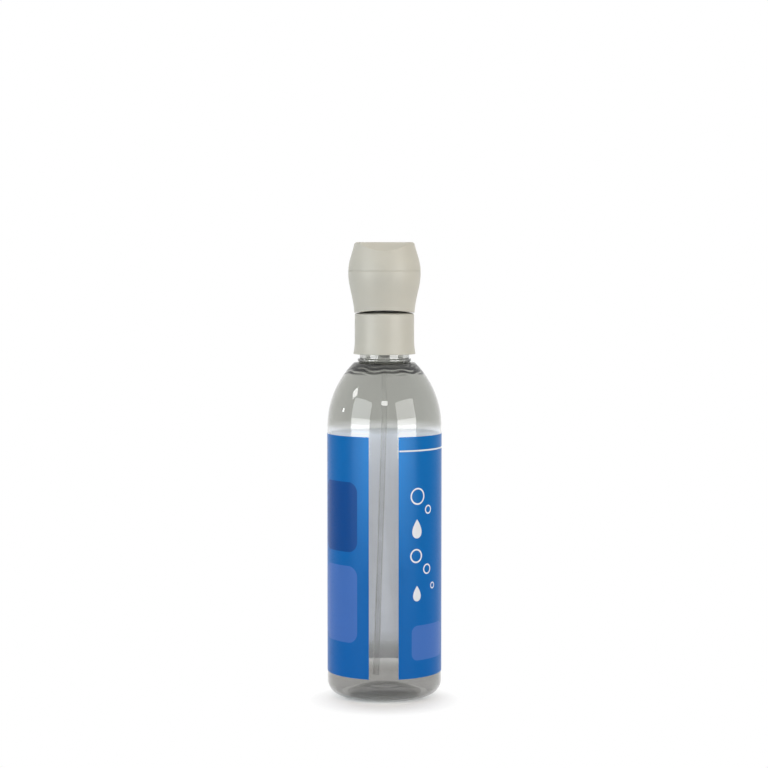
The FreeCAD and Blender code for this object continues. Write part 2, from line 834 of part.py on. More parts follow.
def make_buffer_seals():
    """The two elastic rings that sit in the buffer piston's grooves."""
    things = []
    depth = size("buffer_seal_depth")
    for label, inner, outer in (
        ("buffer_outer_seal", buffer_outer - depth, barrel_bore - size("seal_play")),
        ("buffer_inner_seal", size("riser_radius") + size("seal_play"), buffer_inner + depth),
    ):
        things.append(turned(label, [
            (inner, buffer_seal_base),
            (outer, buffer_seal_base),
            (outer, buffer_seal_top),
            (inner, buffer_seal_top),
        ]))
    return things


def make_buffer_spring():
    """Coil under the buffer piston, standing on the cap."""
    base = barrel_base + 0.4
    wire = size("buffer_spring_wire")
    return coil("buffer_spring", size("buffer_spring_radius"), wire, size("buffer_spring_turns"),
                piston_base - base, z=base + wire / 2.0)


def make_transfer_flap():
    """Thin elastic ring under the deck that closes the transfer port."""
    inner = size("riser_radius") + size("cap_fit")
    outer = size("flap_reach")
    return turned("transfer_flap", [(inner, flap_base), (outer, flap_base), (outer, roof), (inner, roof)])


def make_inlet_ball():
    """Ball that rests on the end of the riser."""
    thing = document.addObject("Part::Sphere", "inlet_ball")
    bind(thing, "Radius", size("ball_radius"))
    return put(thing, z=cage_roof - size("ball_radius") - size("ball_lift") + 0.02)


def make_pump_piston():
    """Rod with a head that carries the cup seal; its own z runs forward from the back face."""
    core = size("piston_core")
    head_base = size("cup_seal_offset") + size("cup_seal_length")
    head_top = head_base + size("piston_head_length")
    piston = turned("pump_piston", [
        (0.0, 0.0),
        (core, 0.0),
        (core, head_base),
        (size("piston_head"), head_base),
        (size("piston_head"), head_top),
        (core, head_top),
        (core, rod_front - size("piston_rest")),
        (0.0, rod_front - size("piston_rest")),
    ], x=size("piston_rest"), z=pump_height, turn=TOWARD_X)
    lip = size("pump_bore") - size("seal_play")
    seal = turned("piston_seal", [
        (core, size("cup_seal_offset")),
        (core + 1.0, size("cup_seal_offset") + 0.9),
        (lip - 0.6, size("cup_seal_offset")),
        (lip, size("cup_seal_offset")),
        (lip, head_base),
        (core, head_base),
    ], x=size("piston_rest"), z=pump_height, turn=TOWARD_X)
    return [piston, seal]


def make_piston_retainer():
    """Ring on the mouth of the pump cylinder that keeps the piston in."""
    inner = size("piston_core") + size("retainer_play")
    thick = size("retainer_thickness")
    return turned("piston_retainer", [(inner, 0.0), (pump_radius, 0.0), (pump_radius, thick), (inner, thick)],
                  x=size("pump_front"), z=pump_height, turn=TOWARD_X)


def make_return_spring():
    """Coil between the pump chamber's back wall and the piston."""
    wire = size("return_spring_wire")
    back = size("pump_back_wall") - size("pump_back")
    face = size("piston_rest") + size("cup_seal_offset") + size("cup_seal_length")
    spare = size("cup_seal_length") + size("cup_seal_offset")
    return coil("return_spring", size("return_spring_radius"), wire, size("return_spring_turns"),
                face - spare - back, x=back + wire / 2.0, z=pump_height, turn=TOWARD_X)


def make_outlet_valve():
    """Poppet with a cone that closes the discharge bore, its spring and the plug behind it."""
    seat = size("valve_seat_reach")
    at_seat = size("discharge_bore") - size("seat_play")
    body_back = seat - size("poppet_cone") - size("poppet_length")
    valve = turned("outlet_valve", [
        (0.0, 0.0),
        (size("poppet_radius"), 0.0),
        (size("poppet_radius"), size("poppet_length")),
        (at_seat, size("poppet_length") + size("poppet_cone")),
        (at_seat * 0.3, size("poppet_length") + size("poppet_cone") + size("poppet_tip")),
        (0.0, size("poppet_length") + size("poppet_cone") + size("poppet_tip")),
    ], x=body_back, z=discharge_height, turn=TOWARD_X)
    plug_face = size("plug_depth") - size("valve_back")
    plug_bore = size("valve_bore") - size("cap_fit")
    plug = turned("valve_plug", [
        (0.0, 0.0),
        (valve_radius, 0.0),
        (valve_radius, size("plug_head")),
        (plug_bore, size("plug_head")),
        (plug_bore, size("plug_head") + size("plug_depth")),
        (0.0, size("plug_head") + size("plug_depth")),
    ], x=-size("valve_back") - size("plug_head"), z=discharge_height, turn=TOWARD_X)
    wire = size("outlet_spring_wire")
    spring = coil("outlet_spring", size("outlet_spring_radius"), wire, size("outlet_spring_turns"),
                  body_back - plug_face, x=plug_face + wire / 2.0, z=discharge_height, turn=TOWARD_X)
    return [valve, plug, spring]


def make_nozzle():
    """Swirl insert in the tube's mouth, orifice cup over it and the bezel around both."""
    front = size("discharge_front")
    insert = body("swirl_insert")
    sketch = sketch_in(insert, "swirl_outline", "XY_Plane")
    draw_circle(sketch, 0.0, 0.0, size("swirl_radius"))
    pad = insert.newObject("PartDesign::Pad", "swirl_pad")
    pad.Profile = sketch
    bind(pad, "Length", size("swirl_length"))
    slot = sketch_in(insert, "swirl_slot_outline", "XY_Plane")
    half = size("swirl_slot") / 2.0
    reach = size("swirl_radius")
    draw(slot, [(reach * 0.55, -half), (reach * 1.2, -half), (reach * 1.2, half), (reach * 0.55, half)])
    groove = insert.newObject("PartDesign::Pocket", "swirl_slot_cut")
    groove.Profile = slot
    groove.Reversed = True
    bind(groove, "Length", size("swirl_length") * 2.0)
    pattern = insert.newObject("PartDesign::PolarPattern", "swirl_slots")
    pattern.Originals = [groove]
    pattern.Axis = (slot, ["N_Axis"])
    pattern.Angle = 360
    pattern.Occurrences = 3
    insert.Tip = pattern
    put(insert, x=front - size("swirl_length"), z=discharge_height, turn=TOWARD_X)
    cup_bore = size("discharge_radius") + size("cap_fit")
    cup_radius = cup_bore + size("cup_wall")
    skirt = size("cup_skirt")
    face = skirt + size("cup_front")
    orifice = size("orifice_radius")
    cup = turned("orifice_cup", [
        (cup_bore, 0.0),
        (cup_radius, 0.0),
        (cup_radius, face),
        (orifice * 4.0, face),
        (orifice, skirt + size("cup_front") * 0.5),
        (orifice, skirt),
        (cup_bore, skirt),
    ], x=front - skirt, z=discharge_height, turn=TOWARD_X)
    sleeve = size("bezel_sleeve")
    inner = cup_radius + size("cap_fit")
    length = size("bezel_length")
    radius = size("bezel_radius")
    bezel = turned("nozzle_bezel", [
        (inner, 0.0),
        (radius, 0.0),
        (radius, length - 0.5, 0.5),
        (radius - 0.5, length),
        (size("bezel_mouth"), length),
        (size("bezel_throat"), sleeve + 0.5),
        (size("bezel_throat"), sleeve),
        (inner, sleeve),
    ], x=front + size("cup_front") - sleeve, z=discharge_height, turn=TOWARD_X)
    return [insert, cup, bezel]


def make_trigger():
    """Hollow finger lever with a fork on the pivot stubs and a pusher for the piston rod."""
    pivot = size("pivot_reach")
    depth = size("trigger_depth")
    wall = size("trigger_wall")
    top = seam - size("trigger_top_gap")
    tip = discharge_height - size("trigger_drop")
    back_top = pivot + size("trigger_top_reach")
    back_tip = pivot + size("trigger_tip_reach")
    chord = root((back_tip - back_top) * (back_tip - back_top) + (top - tip) * (top - tip))
    bend = bow(chord / 2.0, size("trigger_sag"))
    thing = body("trigger")
    blade = padded(thing, "trigger_blade", [
        (back_top, top, bend),
        (back_tip, tip),
        (back_tip + depth * 0.6, tip - 0.6, depth * 0.45),
        (back_tip + depth, tip + 1.2, -bend),
        (back_top + depth, top),
    ], size("trigger_width"))
    document.recompute()
    sides = [(edge.CenterOfMass.x, f"Edge{index}") for index, edge in enumerate(blade.Shape.Edges, start=1)
             if edge.BoundBox.YLength < 0.01 and edge.Length > number(chord) * 0.8]
    soft = thing.newObject("PartDesign::Fillet", "trigger_soft_edges")
    soft.Base = (blade, [name for _, name in sorted(sides)[-2:]])
    bind(soft, "Radius", size("trigger_edge"))
    thing.Tip = soft
    padded(thing, "trigger_hollow", [
        (back_top - 6.0, top - wall, bend),
        (back_tip - 6.0, tip + wall),
        (back_tip + depth - wall * 1.1, tip + wall + 1.2, -bend),
        (back_top + depth - wall * 1.1, top - wall),
    ], size("trigger_width") - wall * 2.0, "PartDesign::Pocket")
    hub = size("hub_radius")
    low = discharge_height
    fork_front = pivot + size("fork_reach")
    padded(thing, "trigger_fork", [
        (pivot - hub * 0.7, low - hub * 0.7),
        (back_top + 0.8, top - 2.6),
        (back_top + depth - 1.0, top - 2.6),
        (back_top + depth - 1.0, top - 0.3),
        (fork_front, top - 0.3),
        (fork_front, low - hub * 0.5),
        (pivot + hub * 0.7, low + hub * 0.7),
    ], size("fork_width"))
    padded_round(thing, "trigger_hub", pivot, low, hub, size("fork_width"))
    reach = hub + 1.6
    padded(thing, "fork_slot", [
        (pivot - reach, low - reach - 0.6),
        (pivot + reach + 1.4, low - reach - 0.6),
        (pivot + reach + 1.4, low + reach),
        (pivot - reach, low + reach),
    ], size("fork_gap"), "PartDesign::Pocket")
    pusher = size("pusher_radius")
    rib_end = back_top + depth - wall * 0.5
    padded(thing, "trigger_pusher", [
        (pusher_reach, pump_height - pusher),
        (rib_end + 0.6, pump_height - pusher),
        (rib_end + 0.6, pump_height + pusher),
        (pusher_reach, pump_height + pusher),
    ], size("pusher_width"))
    padded_round(thing, "pusher_nose", pusher_reach, pump_height, pusher, size("pusher_width"))
    padded_round(thing, "pivot_hole", pivot, low, size("pivot_radius") + size("pivot_play"),
                 size("trigger_width") * 2.0, "PartDesign::Pocket")
    return thing


foot_rim = (size("shroud_foot_width"), size("shroud_foot_nose"), size("shroud_foot_reach"))
seam_rim = (size("seam_width"), size("seam_nose"), size("seam_reach"))
crown_rim = (size("crown_width"), size("crown_nose"), size("crown_reach"))


def make_rear_shroud():
    """Lower shell, arched over the collar and open at the front, with a shelf that sits on the plate."""
    wall = size("shell_wall")
    height = size("shroud_height")
    outer = shell_form("shroud_outer", SHROUD_LEVELS, shroud_base, height, foot_rim, seam_rim, 0.0)
    inner = shell_form("shroud_inner", SHROUD_LEVELS, shroud_base, height, foot_rim, seam_rim, wall)
    span = size("seam_width") * 4.0
    shelf_low = plate_top - size("shelf_thickness")
    opening = joined("shelf_openings", [
        cylinder("shelf_opening", size("shelf_hole"), size("shelf_thickness") * 3.0, z=shelf_low),
        box("shelf_mouth", span, size("shelf_hole") * 2.0, size("shelf_thickness") * 3.0,
            y=-size("shelf_hole"), z=shelf_low),
    ])
    shelf = cut("shroud_shelf", box("shelf_slab", span, span, size("shelf_thickness"),
                                    x=-span / 2.0, y=-span / 2.0, z=plate_top), opening)
    shell = cut("shroud_shell", outer, cut("shroud_hollow", inner, shelf))
    arch_bend = bow(size("shroud_foot_width"), size("shroud_arch"))
    arch = cylinder("shroud_arch_cut", arch_bend, span, x=-span / 2.0,
                    z=shroud_base + size("shroud_arch") - arch_bend, turn=TOWARD_X)
    lean = size("shroud_front_lean")
    front = box("shroud_front_cut", span, span, span * 2.0,
                x=size("shroud_front") - span * sine(lean), y=-span / 2.0,
                z=shroud_base - span * cosine(lean),
                turn=FreeCAD.Rotation(FreeCAD.Vector(0, 1, 0), number(lean)))
    front.setExpression("Placement.Rotation.Angle", words(lean))
    return cut("rear_shroud", shell, joined("shroud_cuts", [arch, front]))


def make_top_cover():
    """Upper shell with a rounded crown, a thumb scoop at the back and the nozzle opening."""
    wall = size("shell_wall")
    height = size("cover_height")
    bend = size("crown_round")
    outer = shell_form("cover_outer", COVER_LEVELS, seam, height - bend, seam_rim, crown_rim, 0.0)
    width, nose, reach = crown_rim
    stations = []
    for angle in (0.0, 30.0, 60.0, 90.0):
        rise = bend * math.sin(math.radians(angle))
        draw_in = bend * (1.0 - math.cos(math.radians(angle)))
        stations.append((crown - bend + rise, width - draw_in, nose - draw_in, reach))
    add_loft(outer, "crown_round_loft", stations)
    inner = shell_form("cover_inner", COVER_LEVELS, seam, height - wall, seam_rim, crown_rim, wall)
    slope = size("scoop_slope")
    radius = size("scoop_radius")
    run = size("scoop_run")
    low_x = -size("crown_width") - size("scoop_back") - radius * sine(slope) - run * cosine(slope)
    low_z = crown - size("scoop_depth") + radius * cosine(slope) - run * sine(slope)
    scoops = []
    for name, grow in (("scoop", 0.0), ("scoop_wall", wall)):
        scoop = cylinder(name, radius + grow, size("scoop_length"), x=low_x, z=low_z,
                         turn=FreeCAD.Rotation(FreeCAD.Vector(0, 1, 0), 90.0 - number(slope)))
        scoop.setExpression("Placement.Rotation.Angle", words(90.0 - slope))
        scoops.append(scoop)
    carved = cut("cover_carved", outer, scoops[0])
    hollow = cut("cover_hollow", inner, scoops[1])
    shell = cut("cover_shell", carved, hollow)
    hole = cylinder("nozzle_opening", size("bezel_radius") + size("bezel_hole_play"),
                    size("seam_reach") + size("seam_nose"), x=size("pivot_reach"), z=discharge_height,
                    turn=TOWARD_X)
    return cut("top_cover", shell, hole)


def make_dip_tube():
    """Thin tube that hangs from the riser and leans gently to the front of the bottle."""
    lean = size("tube_lean")
    bend = size("tube_bend_radius")
    straight = size("tube_straight")
    bent_x = bend - bend * cosine(lean)
    bent_z = -straight - bend * sine(lean)
    tail = size("tube_tail")
    thing = body("dip_tube")
    spine = sketch_in(thing, "tube_spine")
    draw(spine, [
        (0.0, 0.0),
        (0.0, -straight, bend),
        (bent_x, bent_z),
        (bent_x + tail * sine(lean), bent_z - tail * cosine(lean)),
    ], closed=False)
    ring = sketch_in(thing, "tube_ring", "XY_Plane")
    draw_circle(ring, 0.0, 0.0, size("tube_radius"))
    draw_circle(ring, 0.0, 0.0, size("tube_radius") - size("tube_wall"))
    pipe = thing.newObject("PartDesign::AdditivePipe", "tube_pipe")
    pipe.Profile = ring
    pipe.Spine = (spine, ["Edge1", "Edge2", "Edge3"])
    thing.Tip = pipe
    top = barrel_base - size("cap_lip") - size("socket_boss_length") + size("socket_depth")
    turn = size("tube_turn")
    put(thing, z=top, turn=FreeCAD.Rotation(FreeCAD.Vector(0, 0, 1), number(turn)))
    thing.setExpression("Placement.Rotation.Angle", words(turn))
    return thing


pieces = [make_bottle(), make_label(), make_collar(), make_neck_gasket(), make_pump_body(),
          make_buffer_cap(), make_buffer_piston()]
pieces += make_buffer_seals()
pieces += [make_buffer_spring(), make_transfer_flap(), make_inlet_ball()]
pieces += make_pump_piston()
pieces += [make_piston_retainer(), make_return_spring()]
pieces += make_outlet_valve()
pieces += make_nozzle()
pieces += [make_trigger(), make_rear_shroud(), make_top_cover(), make_dip_tube()]
document.recompute()

os.makedirs("parts", exist_ok=True)
for thing in document.Objects:
    if "Invalid" in thing.State or "Error" in thing.State:
        raise RuntimeError(f"{thing.Label} failed: {thing.State}")
for piece in pieces:
    if piece.Shape.isNull() or not piece.Shape.isValid() or piece.Shape.Volume <= 0.0:
        raise RuntimeError(f"{piece.Label} has no sound shape")
    piece.Shape.exportStep(f"parts/{piece.Label}.step")
    limits = piece.Shape.BoundBox
    print(f"{piece.Label}: {piece.Shape.Volume:.1f} mm3, {len(piece.Shape.Solids)} solid, "
          f"x {limits.XMin:.2f} {limits.XMax:.2f} y {limits.YMin:.2f} {limits.YMax:.2f} "
          f"z {limits.ZMin:.2f} {limits.ZMax:.2f}")
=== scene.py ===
"""Looks of a clear bottle with a fine-mist trigger head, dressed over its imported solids.

Sizes in the classes are millimetres and degrees, in the frame of the solids: the bottle stands
on z = 0 with its axis on z, and the spray leaves along +x. Points become metres when a mesh is
made. The visible shells, the trigger, the dip tube and the springs are smooth surfaces worked out
from the sizes; the other inner works and the nozzle's bezel keep their solids and take finishes.
Lamps, noise and relief are in metres, as their classes say.
"""

import logging
import math
from dataclasses import dataclass
from enum import Enum

import bpy
import numpy as np
from mathutils import Euler, Matrix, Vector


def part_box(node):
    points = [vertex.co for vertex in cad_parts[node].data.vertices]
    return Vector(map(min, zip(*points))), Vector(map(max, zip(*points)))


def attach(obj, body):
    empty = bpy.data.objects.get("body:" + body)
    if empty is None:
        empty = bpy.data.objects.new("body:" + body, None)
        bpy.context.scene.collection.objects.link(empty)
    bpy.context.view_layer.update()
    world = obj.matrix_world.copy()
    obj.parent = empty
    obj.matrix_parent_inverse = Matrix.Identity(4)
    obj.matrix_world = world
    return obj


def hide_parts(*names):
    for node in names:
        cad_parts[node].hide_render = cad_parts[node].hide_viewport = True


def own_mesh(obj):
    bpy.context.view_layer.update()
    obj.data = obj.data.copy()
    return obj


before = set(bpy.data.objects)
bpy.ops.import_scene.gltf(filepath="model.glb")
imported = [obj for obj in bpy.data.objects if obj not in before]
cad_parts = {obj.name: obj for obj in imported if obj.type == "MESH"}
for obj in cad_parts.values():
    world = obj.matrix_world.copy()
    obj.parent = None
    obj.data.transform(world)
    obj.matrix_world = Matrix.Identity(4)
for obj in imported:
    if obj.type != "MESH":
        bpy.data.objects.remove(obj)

MM = 0.001
# Points closer than this, in millimetres, become one.
WELD = 2e-4
# Noise hardly ever leaves this range.
NOISE_RANGE = (0.3, 0.7)
LOG = logging.getLogger("spray_bottle")
Colour = tuple[float, float, float]
Pair = tuple[float, float]
Corner = tuple[float, float, float]
Wave = tuple[float, float, float]
Socket = bpy.types.NodeSocket


class Body(Enum):
    """Moving groups that the pieces ride on."""

    BOTTLE = "bottle"
    HEAD = "head"
    COLLAR = "collar"
    TRIGGER = "trigger"


class Axis(Enum):
    """Directions that a profile can be turned about."""

    UP = "up"
    FORWARD = "forward"


def srgb(red: float, green: float, blue: float) -> Colour:
    """Turns a colour written as 0 to 255 into linear light.

    Args:
        red: Red as written.
        green: Green as written.
        blue: Blue as written.

    Returns:
        The three linear values.
    """
    values = np.array([red, green, blue]) / 255.0
    linear = np.where(values <= 0.04045, values / 12.92, ((values + 0.055) / 1.055) ** 2.4)
    return tuple(float(value) for value in linear)


class Shell:
    """One closed island of faces, collected from grids of points in millimetres."""

    def __init__(self) -> None:
        """Starts with no points."""
        self._points: list[np.ndarray] = []
        self._quads: list[np.ndarray] = []
        self._looks: list[np.ndarray] = []
        self._count = 0

    def add(self, grid: np.ndarray, wrap_rows: bool = False, wrap_columns: bool = False,
            look: int = 0, flip: bool = False) -> "Shell":
        """Adds a grid whose neighbours (i, j), (i+1, j), (i+1, j+1), (i, j+1) make one face.

        Args:
            grid: Points of shape (rows, columns, 3).
            wrap_rows: Joins the last row to the first.
            wrap_columns: Joins the last column to the first.
            look: Which of the piece's finishes the faces take.
            flip: Turns the faces round.

        Returns:
            The shell itself.
        """
        rows, columns = grid.shape[:2]
        index = np.arange(rows * columns).reshape(rows, columns) + self._count
        if wrap_rows:
            index = np.vstack([index, index[:1]])
        if wrap_columns:
            index = np.hstack([index, index[:, :1]])
        corners = [index[:-1, :-1], index[1:, :-1], index[1:, 1:], index[:-1, 1:]]
        if flip:
            corners.reverse()
        quads = np.stack(corners, axis=-1).reshape(-1, 4)
        self._points.append(grid.reshape(-1, 3))
        self._quads.append(quads)
        self._looks.append(np.full(len(quads), look))
        self._count += rows * columns
        return self

    def add_wall(self, outer: np.ndarray, inner: np.ndarray, outer_look: int = 0,
                 inner_look: int = 0) -> "Shell":
        """Closes two sheets of the same shape with strips along their four borders.

        Args:
            outer: Points of the outer sheet.
            inner: Points of the inner sheet.
            outer_look: Finish of the outer sheet and the edges.
            inner_look: Finish of the inner sheet.

        Returns:
            The shell itself.
        """
        self.add(outer, look=outer_look)
        self.add(inner, look=inner_look, flip=True)
        borders = ((np.s_[0], True), (np.s_[-1], False), (np.s_[:, 0], False), (np.s_[:, -1], True))
        for border, turn in borders:
            self.add(np.stack([outer[border], inner[border]]), look=inner_look, flip=turn)
        return self

    def faces(self) -> tuple[np.ndarray, np.ndarray, np.ndarray]:
        """Welds equal points and turns the faces outward.

        The sign of the summed volumes of the cones from the origin to each face tells which way
        the faces look.

        Returns:
            Points, corner numbers and finish numbers; a triangle repeats its last corner.
        """
        points = np.vstack(self._points)
        quads = np.vstack(self._quads)
        looks = np.concatenate(self._looks)
        keys = np.round(points / WELD).astype(np.int64)
        _, first, place = np.unique(keys, axis=0, return_index=True, return_inverse=True)
        points = points[first]
        quads = place.reshape(-1)[quads]
        same = quads == np.roll(quads, -1, axis=1)
        keep = same.sum(axis=1) < 2
        quads, same, looks = quads[keep], same[keep], looks[keep]
        shift = np.where(same.any(axis=1), (same.argmax(axis=1) + 2) % 4, 0)
        order = (np.arange(4)[None, :] + shift[:, None]) % 4
        quads = np.take_along_axis(quads, order, axis=1)
        a, b, c, d = (points[quads[:, k]] for k in range(4))
        volume = np.einsum("ij,ij->i", a, np.cross(b, c) + np.cross(c, d)).sum()
        if volume < 0.0:
            quads = quads[:, [1, 0, 3, 2]]
            swap = quads[:, 0] == quads[:, 3]
            quads[swap] = np.roll(quads[swap], -1, axis=1)
        return points, quads, looks


def placed(name: str, data: bpy.types.ID) -> bpy.types.Object:
    """Puts a new object with its data into the scene.

    Args:
        name: Name of the object.
        data: Mesh, lamp or camera that it shows.

    Returns:
        The new object.
    """
    item = bpy.data.objects.new(name, data)
    bpy.context.scene.collection.objects.link(item)
    return item


def plain_object(name: str, shell: Shell) -> bpy.types.Object:
    """Turns one shell into an object with flat faces and no finish.

    Args:
        name: Name of the object and its mesh.
        shell: Faces in millimetres.

    Returns:
        The new object.
    """
    points, quads, _ = shell.faces()
    mesh = bpy.data.meshes.new(name)
    mesh.from_pydata((points * MM).tolist(), [], [list(dict.fromkeys(face)) for face in quads.tolist()])
    return placed(name, mesh)


def make_piece(name: str, shells: list[Shell], materials: list[bpy.types.Material], body: Body,
               nodes: tuple[str, ...], sharp: float = 35.0) -> bpy.types.Object:
    """Turns shells into one smooth-shaded piece that rides on a body.

    Args:
        name: Name of the piece.
        shells: Closed islands, in millimetres.
        materials: Finishes by number.
        body: What the piece moves with.
        nodes: Solids that the piece stands for.
        sharp: Angle between faces, in degrees, past which an edge stays sharp.

    Returns:
        The new object.
    """
    points, corners, looks = [], [], []
    count = 0
    for shell in shells:
        shell_points, shell_quads, shell_looks = shell.faces()
        points.append(shell_points)
        corners.append(shell_quads + count)
        looks.append(shell_looks)
        count += len(shell_points)
    quads = np.vstack(corners)
    triangles = (quads == np.roll(quads, -1, axis=1)).any(axis=1)
    faces = quads[~triangles].tolist() + quads[triangles][:, :3].tolist()
    order = np.concatenate([np.flatnonzero(~triangles), np.flatnonzero(triangles)])
    mesh = bpy.data.meshes.new(name)
    mesh.from_pydata((np.vstack(points) * MM).tolist(), [], faces)
    mesh.polygons.foreach_set("material_index", np.concatenate(looks)[order].astype(np.int32))
    mesh.shade_smooth()
    mesh.set_sharp_from_angle(angle=math.radians(sharp))
    for material in materials:
        mesh.materials.append(material)
    piece = placed(name, mesh)
    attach(piece, body.value)
    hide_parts(*nodes)
    LOG.info("%s: %d faces on %s", piece.name, len(piece.data.polygons), body.value)
    return piece


def rounded(corners: list[Corner], steps: int = 6) -> np.ndarray:
    """A line through corners (a, b, radius) whose corners are swapped for tangent arcs.

    An arc starts at radius / tan(half the corner's angle) before the corner and swings about the
    point that lies radius away from both sides.

    Args:
        corners: Points of the line, with the radius of the round at each.
        steps: Points on each arc.

    Returns:
        Points of shape (n, 2).
    """
    places = np.array([corner[:2] for corner in corners], float)
    line = [places[:1]]
    for index in range(1, len(corners) - 1):
        radius = corners[index][2]
        here = places[index]
        if radius <= 0.0:
            line.append(here[None])
            continue
        back = places[index - 1] - here
        ahead = places[index + 1] - here
        back = back / np.linalg.norm(back)
        ahead = ahead / np.linalg.norm(ahead)
        half = 0.5 * math.acos(float(np.clip(back @ ahead, -1.0, 1.0)))
        middle = (back + ahead) / np.linalg.norm(back + ahead)
        centre = here + middle * radius / math.sin(half)
        start = here + back * radius / math.tan(half) - centre
        end = here + ahead * radius / math.tan(half) - centre
        swing = math.pi - 2.0 * half
        share = np.linspace(0.0, 1.0, steps)[:, None]
        line.append(centre + (np.sin((1.0 - share) * swing) * start + np.sin(share * swing) * end)
                    / math.sin(swing))
    line.append(places[-1:])
    return np.vstack(line)


def arc(centre: Pair, radius: float, start: float, end: float, steps: int) -> np.ndarray:
    """Points on a circle from one angle to another, both in degrees."""
    angle = np.radians(np.linspace(start, end, steps))
    return np.stack([centre[0] + radius * np.cos(angle), centre[1] + radius * np.sin(angle)], axis=1)


def dense(line: np.ndarray, spacing: float) -> np.ndarray:
    """Adds points to a line so that no step is longer than a spacing.

    Args:
        line: Points of shape (n, 2).
        spacing: Longest step.

    Returns:
        The line with evenly divided steps.
    """
    lengths = np.linalg.norm(np.diff(line, axis=0), axis=1)
    pieces = np.maximum(1, np.ceil(lengths / spacing)).astype(int)
    step = np.repeat(np.arange(len(pieces)), pieces)
    share = (np.arange(len(step)) - np.repeat(np.cumsum(pieces) - pieces, pieces)) / pieces[step]
    points = line[step] + (line[step + 1] - line[step]) * share[:, None]
    return np.vstack([points, line[-1:]])


def round_angles(count: int) -> np.ndarray:
    """Evenly spaced angles of one full turn, in radians."""
    return np.linspace(0.0, 2.0 * math.pi, count, endpoint=False)


def polar(distance: np.ndarray, angle: np.ndarray, height: np.ndarray) -> np.ndarray:
    """Points at a distance and an angle from the z axis, at a height."""
    return np.stack([distance * np.cos(angle), distance * np.sin(angle), height], axis=-1)


def pushed_out(grid: np.ndarray, push: np.ndarray) -> np.ndarray:
    """Moves each point away from the z axis by its push."""
    scale = 1.0 + push / np.maximum(np.hypot(grid[..., 0], grid[..., 1]), 1.0)
    return grid * np.stack([scale, scale, np.ones_like(scale)], axis=-1)


def turned(profile: np.ndarray, count: int, axis: Axis = Axis.UP,
           base: Pair = (0.0, 0.0)) -> np.ndarray:
    """Sweeps a profile of (radius, place along the axis) through a full turn.

    Args:
        profile: Points of shape (n, 2).
        count: Points in one turn.
        axis: Up turns about z, forward about a line along x.
        base: For a forward axis, where it starts: (x, z).

    Returns:
        Grid of shape (n, count, 3); its columns wrap.
    """
    angle = round_angles(count)
    across = profile[:, :1] * np.cos(angle)
    aside = profile[:, :1] * np.sin(angle)
    along = np.broadcast_to(profile[:, 1:], across.shape)
    if axis is Axis.UP:
        return np.stack([across, aside, along], axis=-1)
    return np.stack([base[0] + along, across, base[1] + aside], axis=-1)


@dataclass(frozen=True)
class Grain:
    """Noise on object coordinates: waves in a metre, finer layers and a factor on each coordinate."""

    scale: float
    detail: float = 2.0
    stretch: Colour = (1.0, 1.0, 1.0)


